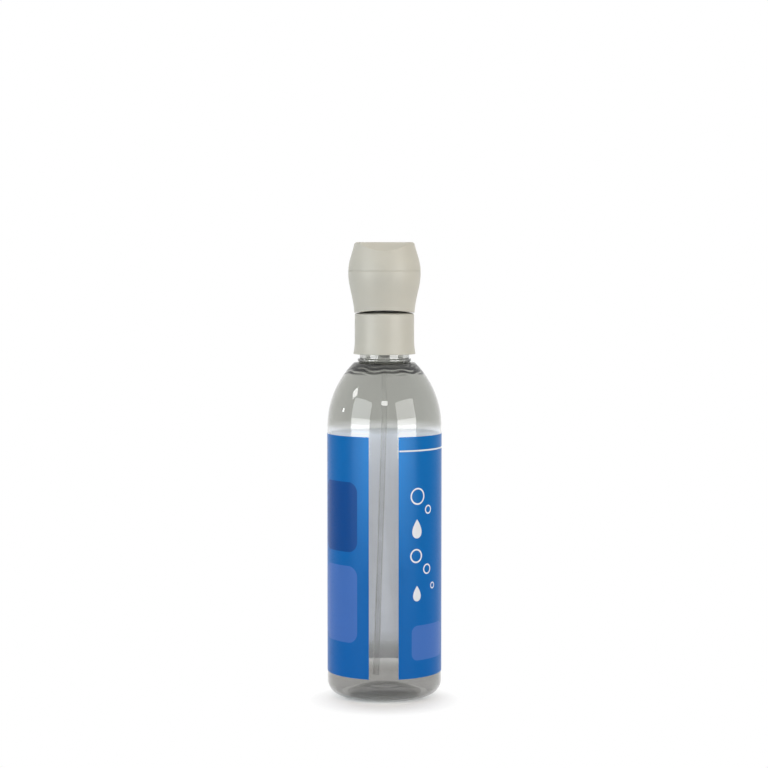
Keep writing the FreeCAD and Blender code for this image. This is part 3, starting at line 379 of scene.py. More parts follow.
class NodeSketch:
    """Adds nodes to one material and links them."""

    def __init__(self, name: str) -> None:
        """Starts a material with a plain shader and its object coordinates.

        Args:
            name: Name of the material.
        """
        self.material = bpy.data.materials.new(name)
        self.material.use_nodes = True
        self.tree = self.material.node_tree
        self.shader = self.tree.nodes["Principled BSDF"]
        self.place = self.tree.nodes.new("ShaderNodeTexCoord").outputs["Object"]

    def node(self, kind: str, **settings: object) -> bpy.types.Node:
        """Adds a node and sets its properties.

        Args:
            kind: Type name of the node.
            **settings: Properties by name.

        Returns:
            The node.
        """
        node = self.tree.nodes.new(kind)
        for key, value in settings.items():
            setattr(node, key, value)
        return node

    def feed(self, socket: Socket, value: "Socket | float | Colour") -> None:
        """Links a socket to another, or sets its value.

        Args:
            socket: Input that is fed.
            value: Output to link, number or colour.
        """
        if isinstance(value, bpy.types.NodeSocket):
            self.tree.links.new(value, socket)
        elif isinstance(value, tuple) and socket.type == "RGBA":
            socket.default_value = (*value, 1.0)
        else:
            socket.default_value = value

    def math(self, operation: str, first: "Socket | float", second: "Socket | float" = 0.0,
             clamp: bool = False) -> Socket:
        """Adds a sum of two values.

        Args:
            operation: Name of the sum, such as ADD.
            first: First value or socket.
            second: Second value or socket.
            clamp: Keeps the result from 0 to 1.

        Returns:
            The result's socket.
        """
        node = self.node("ShaderNodeMath", operation=operation, use_clamp=clamp)
        self.feed(node.inputs[0], first)
        self.feed(node.inputs[1], second)
        return node.outputs[0]

    def length(self, first: Socket, second: Socket) -> Socket:
        """Adds the root of the sum of two squares."""
        squares = [self.math("MULTIPLY", side, side) for side in (first, second)]
        return self.math("SQRT", self.math("ADD", *squares))

    def noise(self, grain: Grain) -> Socket:
        """Adds noise on object coordinates.

        Args:
            grain: How fine and how stretched the noise is.

        Returns:
            The noise's value.
        """
        mapping = self.node("ShaderNodeMapping")
        self.feed(mapping.inputs["Vector"], self.place)
        mapping.inputs["Scale"].default_value = grain.stretch
        node = self.node("ShaderNodeTexNoise")
        self.feed(node.inputs["Vector"], mapping.outputs[0])
        node.inputs["Scale"].default_value = grain.scale
        node.inputs["Detail"].default_value = grain.detail
        return node.outputs["Fac"]

    def remap(self, value: Socket, low: float, high: float, start: float = 0.0,
              end: float = 1.0) -> Socket:
        """Maps a value from one range to another, held at the ends.

        Args:
            value: What is mapped.
            low: Lower end of the range that comes in.
            high: Upper end of the range that comes in.
            start: Result at the lower end.
            end: Result at the upper end.

        Returns:
            The result's socket.
        """
        node = self.node("ShaderNodeMapRange", clamp=True)
        self.feed(node.inputs["Value"], value)
        for key, number in (("From Min", low), ("From Max", high), ("To Min", start), ("To Max", end)):
            node.inputs[key].default_value = number
        return node.outputs["Result"]

    def band(self, height: Socket, band: Pair, start: float = 0.0, end: float = 1.0) -> Socket:
        """Maps a height in metres over a band in millimetres, held at its ends."""
        return self.remap(height, band[0] * MM, band[1] * MM, start, end)

    def mix(self, share: Socket, first: "Socket | Colour", second: "Socket | Colour") -> Socket:
        """Mixes two colours.

        Args:
            share: How much of the second shows.
            first: Colour at share 0.
            second: Colour at share 1.

        Returns:
            The mixed colour's socket.
        """
        node = self.node("ShaderNodeMix", data_type="RGBA")
        self.feed(node.inputs[0], share)
        self.feed(node.inputs[6], first)
        self.feed(node.inputs[7], second)
        return node.outputs[2]

    def bump(self, height: Socket, distance: float, strength: float = 1.0,
             below: "Socket | None" = None) -> Socket:
        """Adds relief from a height.

        Args:
            height: Height from 0 to 1.
            distance: Depth of the relief in metres.
            strength: Share of the relief that shows.
            below: Normal of a coarser relief that this one lies on.

        Returns:
            The normal's socket.
        """
        node = self.node("ShaderNodeBump")
        self.feed(node.inputs["Height"], height)
        node.inputs["Distance"].default_value = distance
        node.inputs["Strength"].default_value = strength
        if below is not None:
            self.feed(node.inputs["Normal"], below)
        return node.outputs["Normal"]

    def axes(self) -> tuple[Socket, Socket, Socket]:
        """Gives the three object coordinates as values.

        Returns:
            Sockets for x, y and z, in metres.
        """
        node = self.node("ShaderNodeSeparateXYZ")
        self.feed(node.inputs[0], self.place)
        return node.outputs[0], node.outputs[1], node.outputs[2]

    def lay_over(self, share: Socket, other: Socket) -> None:
        """Lets another shader show in place of the material's own.

        Args:
            share: How much of the other shows.
            other: Output of the other shader.
        """
        blend = self.node("ShaderNodeMixShader")
        for socket, value in zip(blend.inputs, (share, self.shader.outputs[0], other)):
            self.feed(socket, value)
        self.feed(self.tree.nodes["Material Output"].inputs["Surface"], blend.outputs[0])

    def let_light_through(self, colour: Colour) -> None:
        """Lets lamps shine through the surface, dimmed by a colour, instead of casting a full shadow.

        Args:
            colour: Share of the light that passes.
        """
        path = self.node("ShaderNodeLightPath")
        clear = self.node("ShaderNodeBsdfTransparent")
        self.feed(clear.inputs["Color"], colour)
        self.lay_over(path.outputs["Is Shadow Ray"], clear.outputs[0])

    def set(self, **values: object) -> bpy.types.Material:
        """Feeds shader sockets, named with underscores for spaces.

        Args:
            **values: Sockets, numbers or colours by socket name.

        Returns:
            The material.
        """
        for key, value in values.items():
            self.feed(self.shader.inputs[key.replace("_", " ")], value)
        return self.material


@dataclass(frozen=True)
class MouldedPlastic:
    """Opaque moulded plastic with a fine spark-eroded grain and faint handling marks."""

    name: str
    colour: Colour
    shade: Colour
    roughness: float = 0.42
    tone: Grain = Grain(38.0, 3.0)
    speck: Grain = Grain(1500.0)
    rub: Grain = Grain(130.0, 4.0, (1.0, 1.0, 0.35))
    wave: Grain = Grain(60.0, 1.0)

    def material(self) -> bpy.types.Material:
        """Builds the finish: two close tones, a fine grain and uneven gloss.

        Returns:
            The material.
        """
        sketch = NodeSketch(self.name)
        tone = sketch.remap(sketch.noise(self.tone), *NOISE_RANGE)
        rub = sketch.noise(self.rub)
        wave = sketch.bump(sketch.noise(self.wave), distance=0.0002, strength=0.12)
        return sketch.set(
            Base_Color=sketch.mix(tone, self.colour, self.shade),
            Roughness=sketch.remap(rub, *NOISE_RANGE, self.roughness - 0.05, self.roughness + 0.07),
            Specular_IOR_Level=0.28,
            Normal=sketch.bump(sketch.noise(self.speck), distance=0.00004, strength=0.35, below=wave))


@dataclass(frozen=True)
class ClearPlastic:
    """Blown clear plastic whose colour carries painted shade: grey above and below the wrap, dark at the
    heel, the foot and the gather.
    """

    name: str
    # Painted shade: the first colour greys the plastic above and below the wrap, standing in for dim
    # surroundings seen through it; thin is the plain clear tint along the wrap.
    seen_through_shade: Colour
    thin: Colour
    # Painted shade: root is the dark of the gather's streaks under the neck.
    root: Colour
    # Painted shade: the foot and heel colours darken the base.
    foot: Colour
    heel: Colour
    # Height bands, in millimetres, over which the painted shade fades in.
    shoulder_shade_band: Pair = (153.6, 157.6)
    lower_shade_band: Pair = (15.0, 31.0)
    heel_shade_band: Pair = (19.0, 25.0)
    foot_shade_band: Pair = (3.5, 8.0)
    gather_shade_band: Pair = (186.8, 187.8)
    gather_shade_share: float = 0.22
    deep_shade_band: Pair = (189.0, 191.0)
    deep_shade_share: float = 0.6
    neck_band: Pair = (192.9, 193.5)
    wander: float = 0.004
    streak: Grain = Grain(120.0, 3.0, (0.6, 0.6, 5.0))
    swell: Grain = Grain(55.0, 1.5, (1.0, 1.0, 0.5))
    scuff: Grain = Grain(900.0, 5.0, (1.0, 1.0, 0.2))
    parting_line: Pair = (0.08, 0.3)
    passing: Colour = (0.84, 0.86, 0.87)
    index: float = 1.55

    def material(self) -> bpy.types.Material:
        """Builds the finish: clear along the wall, with ripples, parting lines and fine scuffs.

        The tint changes over bands of the height: the grey above and below the wrap, the darker heel and
        foot and the gather's dark bands are painted shade. The gather's bands wander up and down with a
        noise.

        Returns:
            The material.
        """
        sketch = NodeSketch(self.name)
        across, _, up = sketch.axes()
        # Painted shade: grey above the wrap and below it.
        above = sketch.band(up, self.shoulder_shade_band)
        below = sketch.band(up, self.lower_shade_band, 1.0, 0.0)
        body = sketch.mix(sketch.math("MAXIMUM", above, below), self.thin, self.seen_through_shade)
        # Painted shade: darker at the heel, darker again at the foot.
        body = sketch.mix(sketch.band(up, self.heel_shade_band, 1.0, 0.0), body, self.heel)
        body = sketch.mix(sketch.band(up, self.foot_shade_band, 1.0, 0.0), body, self.foot)
        # Painted shade: dark streaks at the gather under the neck, in bands that wander with a noise.
        uneven = sketch.math("SUBTRACT", sketch.noise(self.streak), 0.5)
        level = sketch.math("ADD", up, sketch.math("MULTIPLY", uneven, self.wander))
        lower = sketch.band(level, self.gather_shade_band, 0.0, self.gather_shade_share)
        deeper_shade = sketch.band(level, self.deep_shade_band, 0.0, self.deep_shade_share)
        under = sketch.band(up, self.neck_band, 1.0, 0.0)
        gather = sketch.math("MULTIPLY", sketch.math("ADD", lower, deeper_shade), under)
        ripple = sketch.bump(sketch.noise(self.swell), distance=0.0004, strength=0.16)
        line = sketch.band(sketch.math("ABSOLUTE", across), self.parting_line, 1.0, 0.0)
        sketch.let_light_through(self.passing)
        return sketch.set(
            Base_Color=sketch.mix(gather, body, self.root),
            Roughness=sketch.remap(sketch.noise(self.scuff), 0.45, 0.75, 0.015, 0.07),
            Transmission_Weight=1.0, IOR=self.index,
            Normal=sketch.bump(line, distance=0.00006, strength=0.5, below=ripple))


@dataclass(frozen=True)
class TubePlastic:
    """Nearly clear tube with faint lines along its length."""

    name: str
    colour: Colour
    drawn: Grain = Grain(1400.0, 2.0, (1.0, 1.0, 0.01))
    cloud: Grain = Grain(120.0)

    def material(self) -> bpy.types.Material:
        """Builds the finish: nearly clear, with drawn lines, slight unevenness and a pale sheen.

        Returns:
            The material.
        """
        sketch = NodeSketch(self.name)
        drawn = sketch.noise(self.drawn)
        cloud = sketch.remap(sketch.noise(self.cloud), *NOISE_RANGE)
        paler = tuple(min(1.0, value * 1.08) for value in self.colour)
        return sketch.set(
            Base_Color=sketch.mix(cloud, self.colour, paler), Transmission_Weight=0.94, IOR=1.16,
            Sheen_Weight=1.0, Sheen_Roughness=0.35,
            Roughness=sketch.remap(drawn, *NOISE_RANGE, 0.06, 0.2),
            Normal=sketch.bump(drawn, distance=0.00003, strength=0.3))


@dataclass(frozen=True)
class Metal:
    """Drawn or ground metal."""

    name: str
    colour: Colour
    roughness: float
    scratch: Grain = Grain(2600.0, 3.0)

    def material(self) -> bpy.types.Material:
        """Builds the finish: fine drawn scratches and uneven gloss.

        Returns:
            The material.
        """
        sketch = NodeSketch(self.name)
        scratch = sketch.noise(self.scratch)
        duller = tuple(value * 0.8 for value in self.colour)
        return sketch.set(
            Base_Color=sketch.mix(sketch.remap(scratch, 0.35, 0.65), self.colour, duller),
            Metallic=1.0,
            Roughness=sketch.remap(scratch, *NOISE_RANGE, self.roughness, self.roughness + 0.12),
            Normal=sketch.bump(scratch, distance=0.00002, strength=0.2))


class Pen:
    """Draws on the wrap: the place round the axis and the height as sockets, in millimetres."""

    def __init__(self, sketch: NodeSketch, radius: float) -> None:
        """Works out both places from the object coordinates.

        Args:
            sketch: Material that is drawn on.
            radius: Radius of the wrap.
        """
        x, y, z = sketch.axes()
        self.sketch = sketch
        self.across = sketch.math("MULTIPLY", sketch.math("ARCTAN2", y, x), radius)
        self.up = sketch.math("DIVIDE", z, MM)

    def away(self, place: Socket, middle: float) -> Socket:
        """Gives the distance from a middle, along one direction."""
        return self.sketch.math("ABSOLUTE", self.sketch.math("SUBTRACT", place, middle))

    def inside(self, distance: Socket, size: "Socket | float") -> Socket:
        """Gives 1 where a distance is under a size and 0 past it, over a tenth of a millimetre."""
        return self.sketch.remap(self.sketch.math("SUBTRACT", distance, size), -0.05, 0.05, 1.0, 0.0)


@dataclass(frozen=True)
class Panel:
    """A field with round corners on the wrap: middle, half sizes and corner in millimetres."""

    across: float
    up: float
    half_across: float
    half_up: float
    corner: float
    colour: Colour

    def share(self, pen: Pen) -> Socket:
        """Draws the panel: the distance to its inner box is less than the corner.

        Args:
            pen: What draws on the wrap.

        Returns:
            1 inside the panel.
        """
        out = []
        sides = ((pen.across, self.across, self.half_across), (pen.up, self.up, self.half_up))
        for place, middle, half in sides:
            past = pen.sketch.math("SUBTRACT", pen.away(place, middle), half - self.corner)
            out.append(pen.sketch.math("MAXIMUM", past, 0.0))
        return pen.inside(pen.sketch.length(*out), self.corner)


@dataclass(frozen=True)
class Ring:
    """A white bubble outline on the wrap: middle, radius and line width in millimetres."""

    across: float
    up: float
    radius: float
    line: float

    def share(self, pen: Pen) -> Socket:
        """Draws the bubble: the distance from its middle is its radius, to half a line's width."""
        reach = pen.sketch.length(pen.away(pen.across, self.across), pen.away(pen.up, self.up))
        return pen.inside(pen.away(reach, self.radius), self.line / 2.0)


@dataclass(frozen=True)
class Drop:
    """A white drop on the wrap: middle, foot height, height and width in millimetres."""

    across: float
    up: float
    height: float
    width: float
    fullness: float = 1.3
    trim: float = 0.06

    def share(self, pen: Pen) -> Socket:
        """Draws the drop: its half width is the root of the height share times what is left of it.

        Args:
            pen: What draws on the wrap.

        Returns:
            1 inside the drop.
        """
        rise = pen.sketch.remap(pen.up, self.up, self.up + self.height)
        left = pen.sketch.math("SUBTRACT", 1.0, rise)
        half = pen.sketch.math("MULTIPLY", pen.sketch.math("SQRT", rise), left)
        half = pen.sketch.math("MULTIPLY", half, self.width * self.fullness)
        return pen.inside(pen.away(pen.across, self.across), pen.sketch.math("SUBTRACT", half, self.trim))


PALE_PANEL = srgb(70, 118, 198)
DEEP_PANEL = srgb(0, 76, 152)
PANELS = (
    Panel(73.0, 106.0, 15.0, 20.0, 6.0, DEEP_PANEL),
    Panel(73.0, 56.0, 15.0, 22.0, 6.0, PALE_PANEL),
    Panel(-74.0, 34.0, 14.0, 10.0, 4.0, PALE_PANEL),
    Panel(0.0, 88.0, 31.0, 40.0, 9.0, PALE_PANEL),
    Panel(0.0, 34.0, 31.0, 9.0, 4.5, DEEP_PANEL),
)
MARKS = (
    Ring(-84.0, 118.0, 4.4, 0.9),
    Ring(-76.0, 110.0, 2.2, 0.8),
    Ring(-85.0, 84.0, 3.6, 0.9),
    Ring(-77.0, 76.0, 2.6, 0.8),
    Ring(-72.0, 66.0, 1.6, 0.7),
    Ring(14.0, 110.0, 4.6, 1.0),
    Ring(18.0, 98.0, 2.4, 0.9),
    Ring(-15.0, 72.0, 3.4, 0.9),
    Drop(-84.5, 94.0, 11.0, 6.5),
    Drop(-84.5, 58.0, 9.0, 5.4),
    Drop(0.0, 74.0, 34.0, 20.0),
)


@dataclass(frozen=True)
class PrintedFilm:
    """Glossy printed wrap: plain blue with round panels, bubbles, drops and a fill line."""

    name: str
    radius: float
    upper: Colour
    lower: Colour
    # Painted sheen: the paler blue laid near the gap's edges.
    edge: Colour
    white: Colour = (0.86, 0.89, 0.93)
    tone_span: Pair = (20.0, 160.0)
    cloud: Grain = Grain(30.0)
    cloud_height: float = 14.0
    sheen_span: Pair = (84.0, 95.0)
    sheen_rise: Pair = (75.0, 140.0)
    fill_line: float = 144.0
    fill_width: Pair = (0.4, 0.5)
    fill_middle: float = -75.0
    fill_end: Pair = (20.5, 21.0)
    swell: Grain = Grain(45.0, 2.0, (1.0, 1.0, 0.3))
    grain: Grain = Grain(2500.0)

    def material(self) -> bpy.types.Material:
        """Builds the print: two blues over the height, a painted sheen near the gap's edges and higher up,
        the panels and the white marks.

        Returns:
            The material.
        """
        sketch = NodeSketch(self.name)
        pen = Pen(sketch, self.radius)
        cloud = sketch.math("MULTIPLY", sketch.noise(self.cloud), self.cloud_height)
        height = sketch.remap(sketch.math("ADD", pen.up, cloud), *self.tone_span)
        colour = sketch.mix(height, self.lower, self.upper)
        # Painted sheen: the blue pales towards the gap's edges and higher up, standing in for soft lamp
        # reflections.
        beside = sketch.remap(sketch.math("ABSOLUTE", pen.across), *self.sheen_span)
        painted_sheen = sketch.math("MULTIPLY", beside, sketch.remap(pen.up, *self.sheen_rise))
        colour = sketch.mix(painted_sheen, colour, self.edge)
        for panel in PANELS:
            colour = sketch.mix(panel.share(pen), colour, panel.colour)
        line = sketch.remap(pen.away(pen.up, self.fill_line), *self.fill_width, 1.0, 0.0)
        behind = sketch.remap(pen.away(pen.across, self.fill_middle), *self.fill_end, 1.0, 0.0)
        white = sketch.math("MULTIPLY", line, behind)
        for mark in MARKS:
            white = sketch.math("MAXIMUM", white, mark.share(pen))
        ripple = sketch.bump(sketch.noise(self.swell), distance=0.0003, strength=0.14)
        grain = sketch.noise(self.grain)
        return sketch.set(
            Base_Color=sketch.mix(white, colour, self.white),
            Roughness=sketch.remap(grain, *NOISE_RANGE, 0.26, 0.34), Specular_IOR_Level=0.1,
            Normal=sketch.bump(grain, distance=0.00002, strength=0.2, below=ripple))


@dataclass(frozen=True)
class FilmBack:
    """White underside of the wrap, which lets some light through; its faint blue is painted, standing in
    for light tinted by the blue print.
    """

    name: str
    colour: Colour
    spread: float = 0.0006
    cloud: Grain = Grain(70.0, 3.0)

    def material(self) -> bpy.types.Material:
        """Builds the finish: pale, faintly clouded and thin enough to glow.

        Returns:
            The material.
        """
        sketch = NodeSketch(self.name)
        cloud = sketch.remap(sketch.noise(self.cloud), *NOISE_RANGE)
        darker = tuple(value * 0.93 for value in self.colour)
        return sketch.set(
            Base_Color=sketch.mix(cloud, self.colour, darker),
            Subsurface_Weight=1.0, Subsurface_Scale=self.spread, Subsurface_Radius=(1.0, 1.0, 1.0),
            Roughness=sketch.remap(cloud, 0.0, 1.0, 0.45, 0.55))


@dataclass
class Bottle:
    """Blown bottle with a pushed-up foot, a round shoulder and a threaded neck."""

    radius: float = 33.0
    wall: float = 0.7
    base_wall: float = 1.0
    heel: float = 8.0
    foot: float = 21.0
    push_up: float = 5.0
    ridge: float = 0.12
    ridge_radius: float = 9.0
    ridge_width: float = 0.6
    shoulder_base: float = 156.0
    shoulder_radius: float = 51.5
    shoulder_top: float = 192.8
    neck: float = 14.25
    bead: float = 15.4
    bead_base: float = 193.45
    bead_top: float = 195.05
    neck_top: float = 198.35
    finish: float = 12.6
    rim: float = 215.05
    bore: float = 10.9
    thread_base: float = 201.05
    thread_pitch: float = 4.233
    thread_turns: float = 1.5
    thread_depth: float = 1.15
    thread_foot: float = 2.4
    thread_crest: float = 1.2
    thread_runout: float = 0.08
    fine_band: Pair = (199.85, 214.65)
    fine_step: float = 0.22
    gather: float = 1.9
    gather_base: float = 185.8
    ripple: float = 0.22
    ripple_pitch: float = 2.1
    ripple_waves: tuple[Wave, ...] = ((0.6, 2.0, 1.0), (0.5, 5.0, 0.0), (0.35, 11.0, 2.0))
    count: int = 168
    spacing: float = 7.0

    def dome(self) -> Pair:
        """Radius of the pushed-up foot and half of its angle in degrees."""
        radius = (self.foot ** 2 + self.push_up ** 2) / (2.0 * self.push_up)
        return radius, math.degrees(math.asin(self.foot / radius))

    def gathered(self, height: np.ndarray) -> np.ndarray:
        """Share of the way up through the gather, from 0 to 1."""
        return np.clip((height - self.gather_base) / (self.shoulder_top - self.gather_base), 0.0, 1.0)

    def outer(self) -> np.ndarray:
        """Outside of the wall from the middle of the foot to the rim.

        A dome with a low ring, a quarter round at the heel, a straight side, an arc at the shoulder and
        the neck's rounded corners.

        Returns:
            Points as (radius, height) rows.
        """
        dome, half = self.dome()
        foot = arc((0.0, self.push_up - dome), dome, 90.0, 90.0 - half, 22)
        ridge = self.ridge * np.exp(-((foot[:, :1] - self.ridge_radius) / self.ridge_width) ** 2)
        foot = foot - np.hstack([np.zeros_like(ridge), ridge])
        flat = self.radius - self.heel
        inner_edge = rounded([(*foot[-2], 0), (self.foot, 0.0, 0.9), (flat, 0.0, 0)], 5)[1:]
        heel = arc((flat, self.heel), self.heel, -90.0, 0.0, 18)
        centre = self.radius - self.shoulder_radius
        lift = math.degrees(math.asin((self.shoulder_top - self.shoulder_base) / self.shoulder_radius))
        shoulder = arc((centre, self.shoulder_base), self.shoulder_radius, 0.0, lift, 46)
        top = rounded([
            (*shoulder[-1], 0),
            (self.neck, self.shoulder_top + 0.5, 0.35),
            (self.neck, self.bead_base, 0.2),
            (self.bead, self.bead_base, 0.5),
            (self.bead, self.bead_top, 0.5),
            (self.neck, self.bead_top, 0.3),
            (self.neck, self.neck_top, 0.5),
            (self.finish, self.neck_top + 1.65, 0.5),
            (self.finish, self.rim, 0.5),
            (self.bore, self.rim, 0),
        ])[:-1]
        return dense(np.vstack([foot[:-1], inner_edge, heel, shoulder, top[1:]]), self.spacing)

    def inner(self) -> np.ndarray:
        """Inside of the wall from the rim to the middle of the foot.

        The shoulder's arc lies one wall further in, and more so towards the top, where the wall thickens
        with the power 1.5 of the share of the gather.

        Returns:
            Points as (radius, height) rows.
        """
        bend = self.shoulder_radius - self.wall
        centre = self.radius - self.shoulder_radius
        lift = math.degrees(math.asin((self.shoulder_top - self.shoulder_base - self.wall) / bend))
        shoulder = arc((centre, self.shoulder_base), bend, lift, 0.0, 150)
        thicker = self.gather * self.gathered(shoulder[:, 1:]) ** 1.5
        shoulder = shoulder - thicker * (shoulder - (centre, self.shoulder_base)) / bend
        throat = rounded([(self.bore, self.rim, 0), (self.bore, self.bead_base, 1.2), (*shoulder[0], 0)])
        heel = arc((self.radius - self.heel, self.heel), self.heel - self.wall, 0.0, -90.0, 16)
        dome, half = self.dome()
        foot = arc((0.0, self.push_up + self.base_wall - dome), dome, 90.0 - half, 90.0, 22)
        return dense(np.vstack([throat[:-1], shoulder, heel, foot]), self.spacing)

    def threaded(self, grid: np.ndarray) -> np.ndarray:
        """Raises the thread: a ridge whose height falls off with distance from its helix.

        The helix climbs one pitch a turn; the ridge is flat over its crest, slopes to its foot and
        runs out at both ends.

        Args:
            grid: Points of the outside, turned about z.

        Returns:
            The same points with the thread's ridge pushed outward.
        """
        angle = np.mod(np.arctan2(grid[..., 1], grid[..., 0]), 2.0 * math.pi) / (2.0 * math.pi)
        middle = self.thread_base + self.thread_foot / 2.0
        turns = angle + np.round((grid[..., 2] - middle) / self.thread_pitch - angle)
        away = np.abs(grid[..., 2] - middle - turns * self.thread_pitch)
        slope = (self.thread_foot - self.thread_crest) / 2.0
        ridge = np.clip((self.thread_foot / 2.0 - away) / slope, 0.0, 1.0)
        ends = np.clip(np.minimum(turns, self.thread_turns - turns) / self.thread_runout, 0.0, 1.0)
        radius = np.hypot(grid[..., 0], grid[..., 1])
        on_finish = (radius < self.finish + 0.01) & (grid[..., 2] > self.neck_top)
        return pushed_out(grid, np.where(on_finish, self.thread_depth * ridge * ends, 0.0))

    def rippled(self, grid: np.ndarray) -> np.ndarray:
        """Puts blown ripples in the inside of the gather, under the neck.

        They are a sine of the height whose crests wander up and down round the bottle, and they
        die out at both ends of the gather.

        Args:
            grid: Points of the inside, turned about z.

        Returns:
            The same points with the ripples pushed in and out.
        """
        angle = np.arctan2(grid[..., 1], grid[..., 0])
        wander = sum(size * np.sin(waves * angle + start) for size, waves, start in self.ripple_waves)
        swell = self.ripple * np.sin(math.pi * self.gathered(grid[..., 2])) ** 0.7
        return pushed_out(grid, swell * np.sin(2.0 * math.pi * (grid[..., 2] + wander) / self.ripple_pitch))

    def build(self, plastic: bpy.types.Material) -> bpy.types.Object:
        """Builds the closed wall, fine over the thread.

        Args:
            plastic: Clear finish.

        Returns:
            The piece.
        """
        outer = self.outer()
        finish = (outer[:, 1] > self.fine_band[0]) & (outer[:, 1] < self.fine_band[1])
        start, end = np.flatnonzero(finish)[[0, -1]]
        fine = dense(outer[start:end + 1], self.fine_step)
        outer = np.vstack([outer[:start], fine, outer[end + 1:]])
        inner = self.rippled(turned(self.inner(), self.count))
        grid = np.concatenate([self.threaded(turned(outer, self.count)), inner])
        return make_piece("bottle_wall", [Shell().add(grid, wrap_columns=True)], [plastic], Body.BOTTLE,
                          ("bottle",), 50.0)


@dataclass
class Wrap:
    """Printed film round the bottle with a gap down the back."""

    inner: float = 33.03
    outer: float = 33.15
    base: float = 13.9
    top: float = 152.0
    gap: float = 29.5
    gap_middle: float = 179.25
    columns: int = 220
    rows: int = 12

    def sheet(self, radius: float) -> np.ndarray:
        """One face of the film: angle along the rows and height along the columns.

        Args:
            radius: Radius of the face.

        Returns:
            Grid of points on a cylinder.
        """
        half = self.gap / 2.0
        angle = np.linspace(self.gap_middle + half, self.gap_middle + 360.0 - half, self.columns)
        height = np.linspace(self.base, self.top, self.rows)
        return polar(radius, *np.meshgrid(np.radians(angle), height, indexing="ij"))

    def build(self, film: bpy.types.Material, back: bpy.types.Material) -> bpy.types.Object:
        """Builds the film as a thin closed wall.

        Args:
            film: Printed outside.
            back: White underside and edges.

        Returns:
            The piece.
        """
        shell = Shell().add_wall(self.sheet(self.outer), self.sheet(self.inner), 0, 1)
        return make_piece("label_wrap", [shell], [film, back], Body.BOTTLE, ("label",))


@dataclass
class Collar:
    """Double-walled screw collar, flared at its foot and domed on top."""

    radius: float = 17.15
    flare: float = 0.85
    flare_height: float = 8.0
    base: float = 197.65
    edge: float = 220.75
    dome: float = 1.45
    hole: float = 10.6
    ceiling: float = 218.1
    roof_gap: float = 219.16
    wall: float = 1.0
    sleeve_bore: float = 14.1
    sleeve_wall: float = 1.0
    sleeve_base: float = 199.85
    spacing: float = 3.0
    count: int = 180

    def profile(self) -> np.ndarray:
        """Outline of the collar: its skirt widens with the square of the depth below the flare.

        Returns:
            Closed outline as (radius, height) rows.
        """
        drop = np.linspace(0.0, 1.0, 12)[:, None]
        skirt = np.hstack([self.radius + self.flare * drop ** 2,
                           self.base + self.flare_height * (1.0 - drop)])
        outside = rounded([
            (self.hole, self.ceiling, 0),
            (self.hole, self.edge + self.dome, 0.3),
            (0.5 * self.radius + 0.5 * self.hole, self.edge + 0.68 * self.dome, 8.0),
            (self.radius, self.edge, 0.6),
            (self.radius, self.base + self.flare_height, 0),
        ])
        foot = rounded([
            (*skirt[-2], 0),
            (self.radius + self.flare, self.base, 0.28),
            (self.radius + self.flare - self.wall, self.base, 0.28),
            (self.radius - self.wall, self.base + self.flare_height, 20.0),
            (self.radius - self.wall, self.roof_gap, 0.4),
            (self.sleeve_bore + self.sleeve_wall, self.roof_gap, 0.4),
            (self.sleeve_bore + self.sleeve_wall, self.sleeve_base, 0.2),
            (self.sleeve_bore, self.sleeve_base, 0.2),
            (self.sleeve_bore, self.ceiling, 0.0),
            (self.hole, self.ceiling, 0),
        ])[1:-1]
        return np.vstack([outside, skirt[1:-1], foot])

    def build(self, plastic: bpy.types.Material) -> bpy.types.Object:
        """Builds the turned collar.

        Args:
            plastic: Housing finish.

        Returns:
            The piece.
        """
        grid = turned(dense(self.profile(), self.spacing), self.count)
        shell = Shell().add(grid, wrap_rows=True, wrap_columns=True)
        return make_piece("screw_collar", [shell], [plastic], Body.COLLAR, ("collar",), 40.0)


@dataclass(frozen=True)
class Rim:
    """An egg-shaped outline: a large arc about the axis, a small one in front, and tangents."""

    back: float
    nose: float
    reach: float

    def toward(self, other: "Rim", share: np.ndarray) -> tuple[np.ndarray, np.ndarray, np.ndarray]:
        """Sizes on the way to another rim."""
        pairs = ((self.back, other.back), (self.nose, other.nose), (self.reach, other.reach))
        return tuple(first + (last - first) * share for first, last in pairs)


def egg(angle: np.ndarray, back: np.ndarray, nose: np.ndarray, reach: np.ndarray) -> np.ndarray:
    """Distance from the axis to an egg-shaped outline in a direction.

    Behind the tangent points it is the large radius. Along the tangents it is that radius over the
    cosine of the angle from the tangent point, and on the nose it is where the ray leaves the
    small circle.

    Args:
        angle: Direction from +x in radians.
        back: Radius of the large arc.
        nose: Radius of the small arc.
        reach: Distance of the small arc's middle from the axis.

    Returns:
        Distances of the broadcast shape.
    """
    turn = np.abs(np.mod(angle + math.pi, 2.0 * math.pi) - math.pi)
    slant = np.arccos((back - nose) / reach)
    meets = np.arctan2(nose * np.sin(slant), reach + nose * np.cos(slant))
    # The angle is held a little short of a right angle, where its cosine would be 0.
    tangent = back / np.cos(np.clip(slant - turn, 0.0, 1.5))
    inside = np.sqrt(np.maximum(nose ** 2 - (reach * np.sin(turn)) ** 2, 0.0))
    front = reach * np.cos(turn) + inside
    return np.where(turn >= slant, back, np.where(turn >= meets, tangent, front))


def swelling(levels: tuple[Pair, ...], share: np.ndarray) -> np.ndarray:
    """Cubic through four (rise, swell) levels, read at a share of the rise."""
    rise, swell = np.array(levels).T
    return np.polyval(np.polyfit(rise, swell, len(levels) - 1), share)


def blended(first: np.ndarray, second: np.ndarray, width: float) -> np.ndarray:
    """Lower of two heights with the crease between them rounded over a width."""
    share = np.clip(0.5 + 0.5 * (second - first) / width, 0.0, 1.0)
    return second + (first - second) * share - width * share * (1.0 - share)


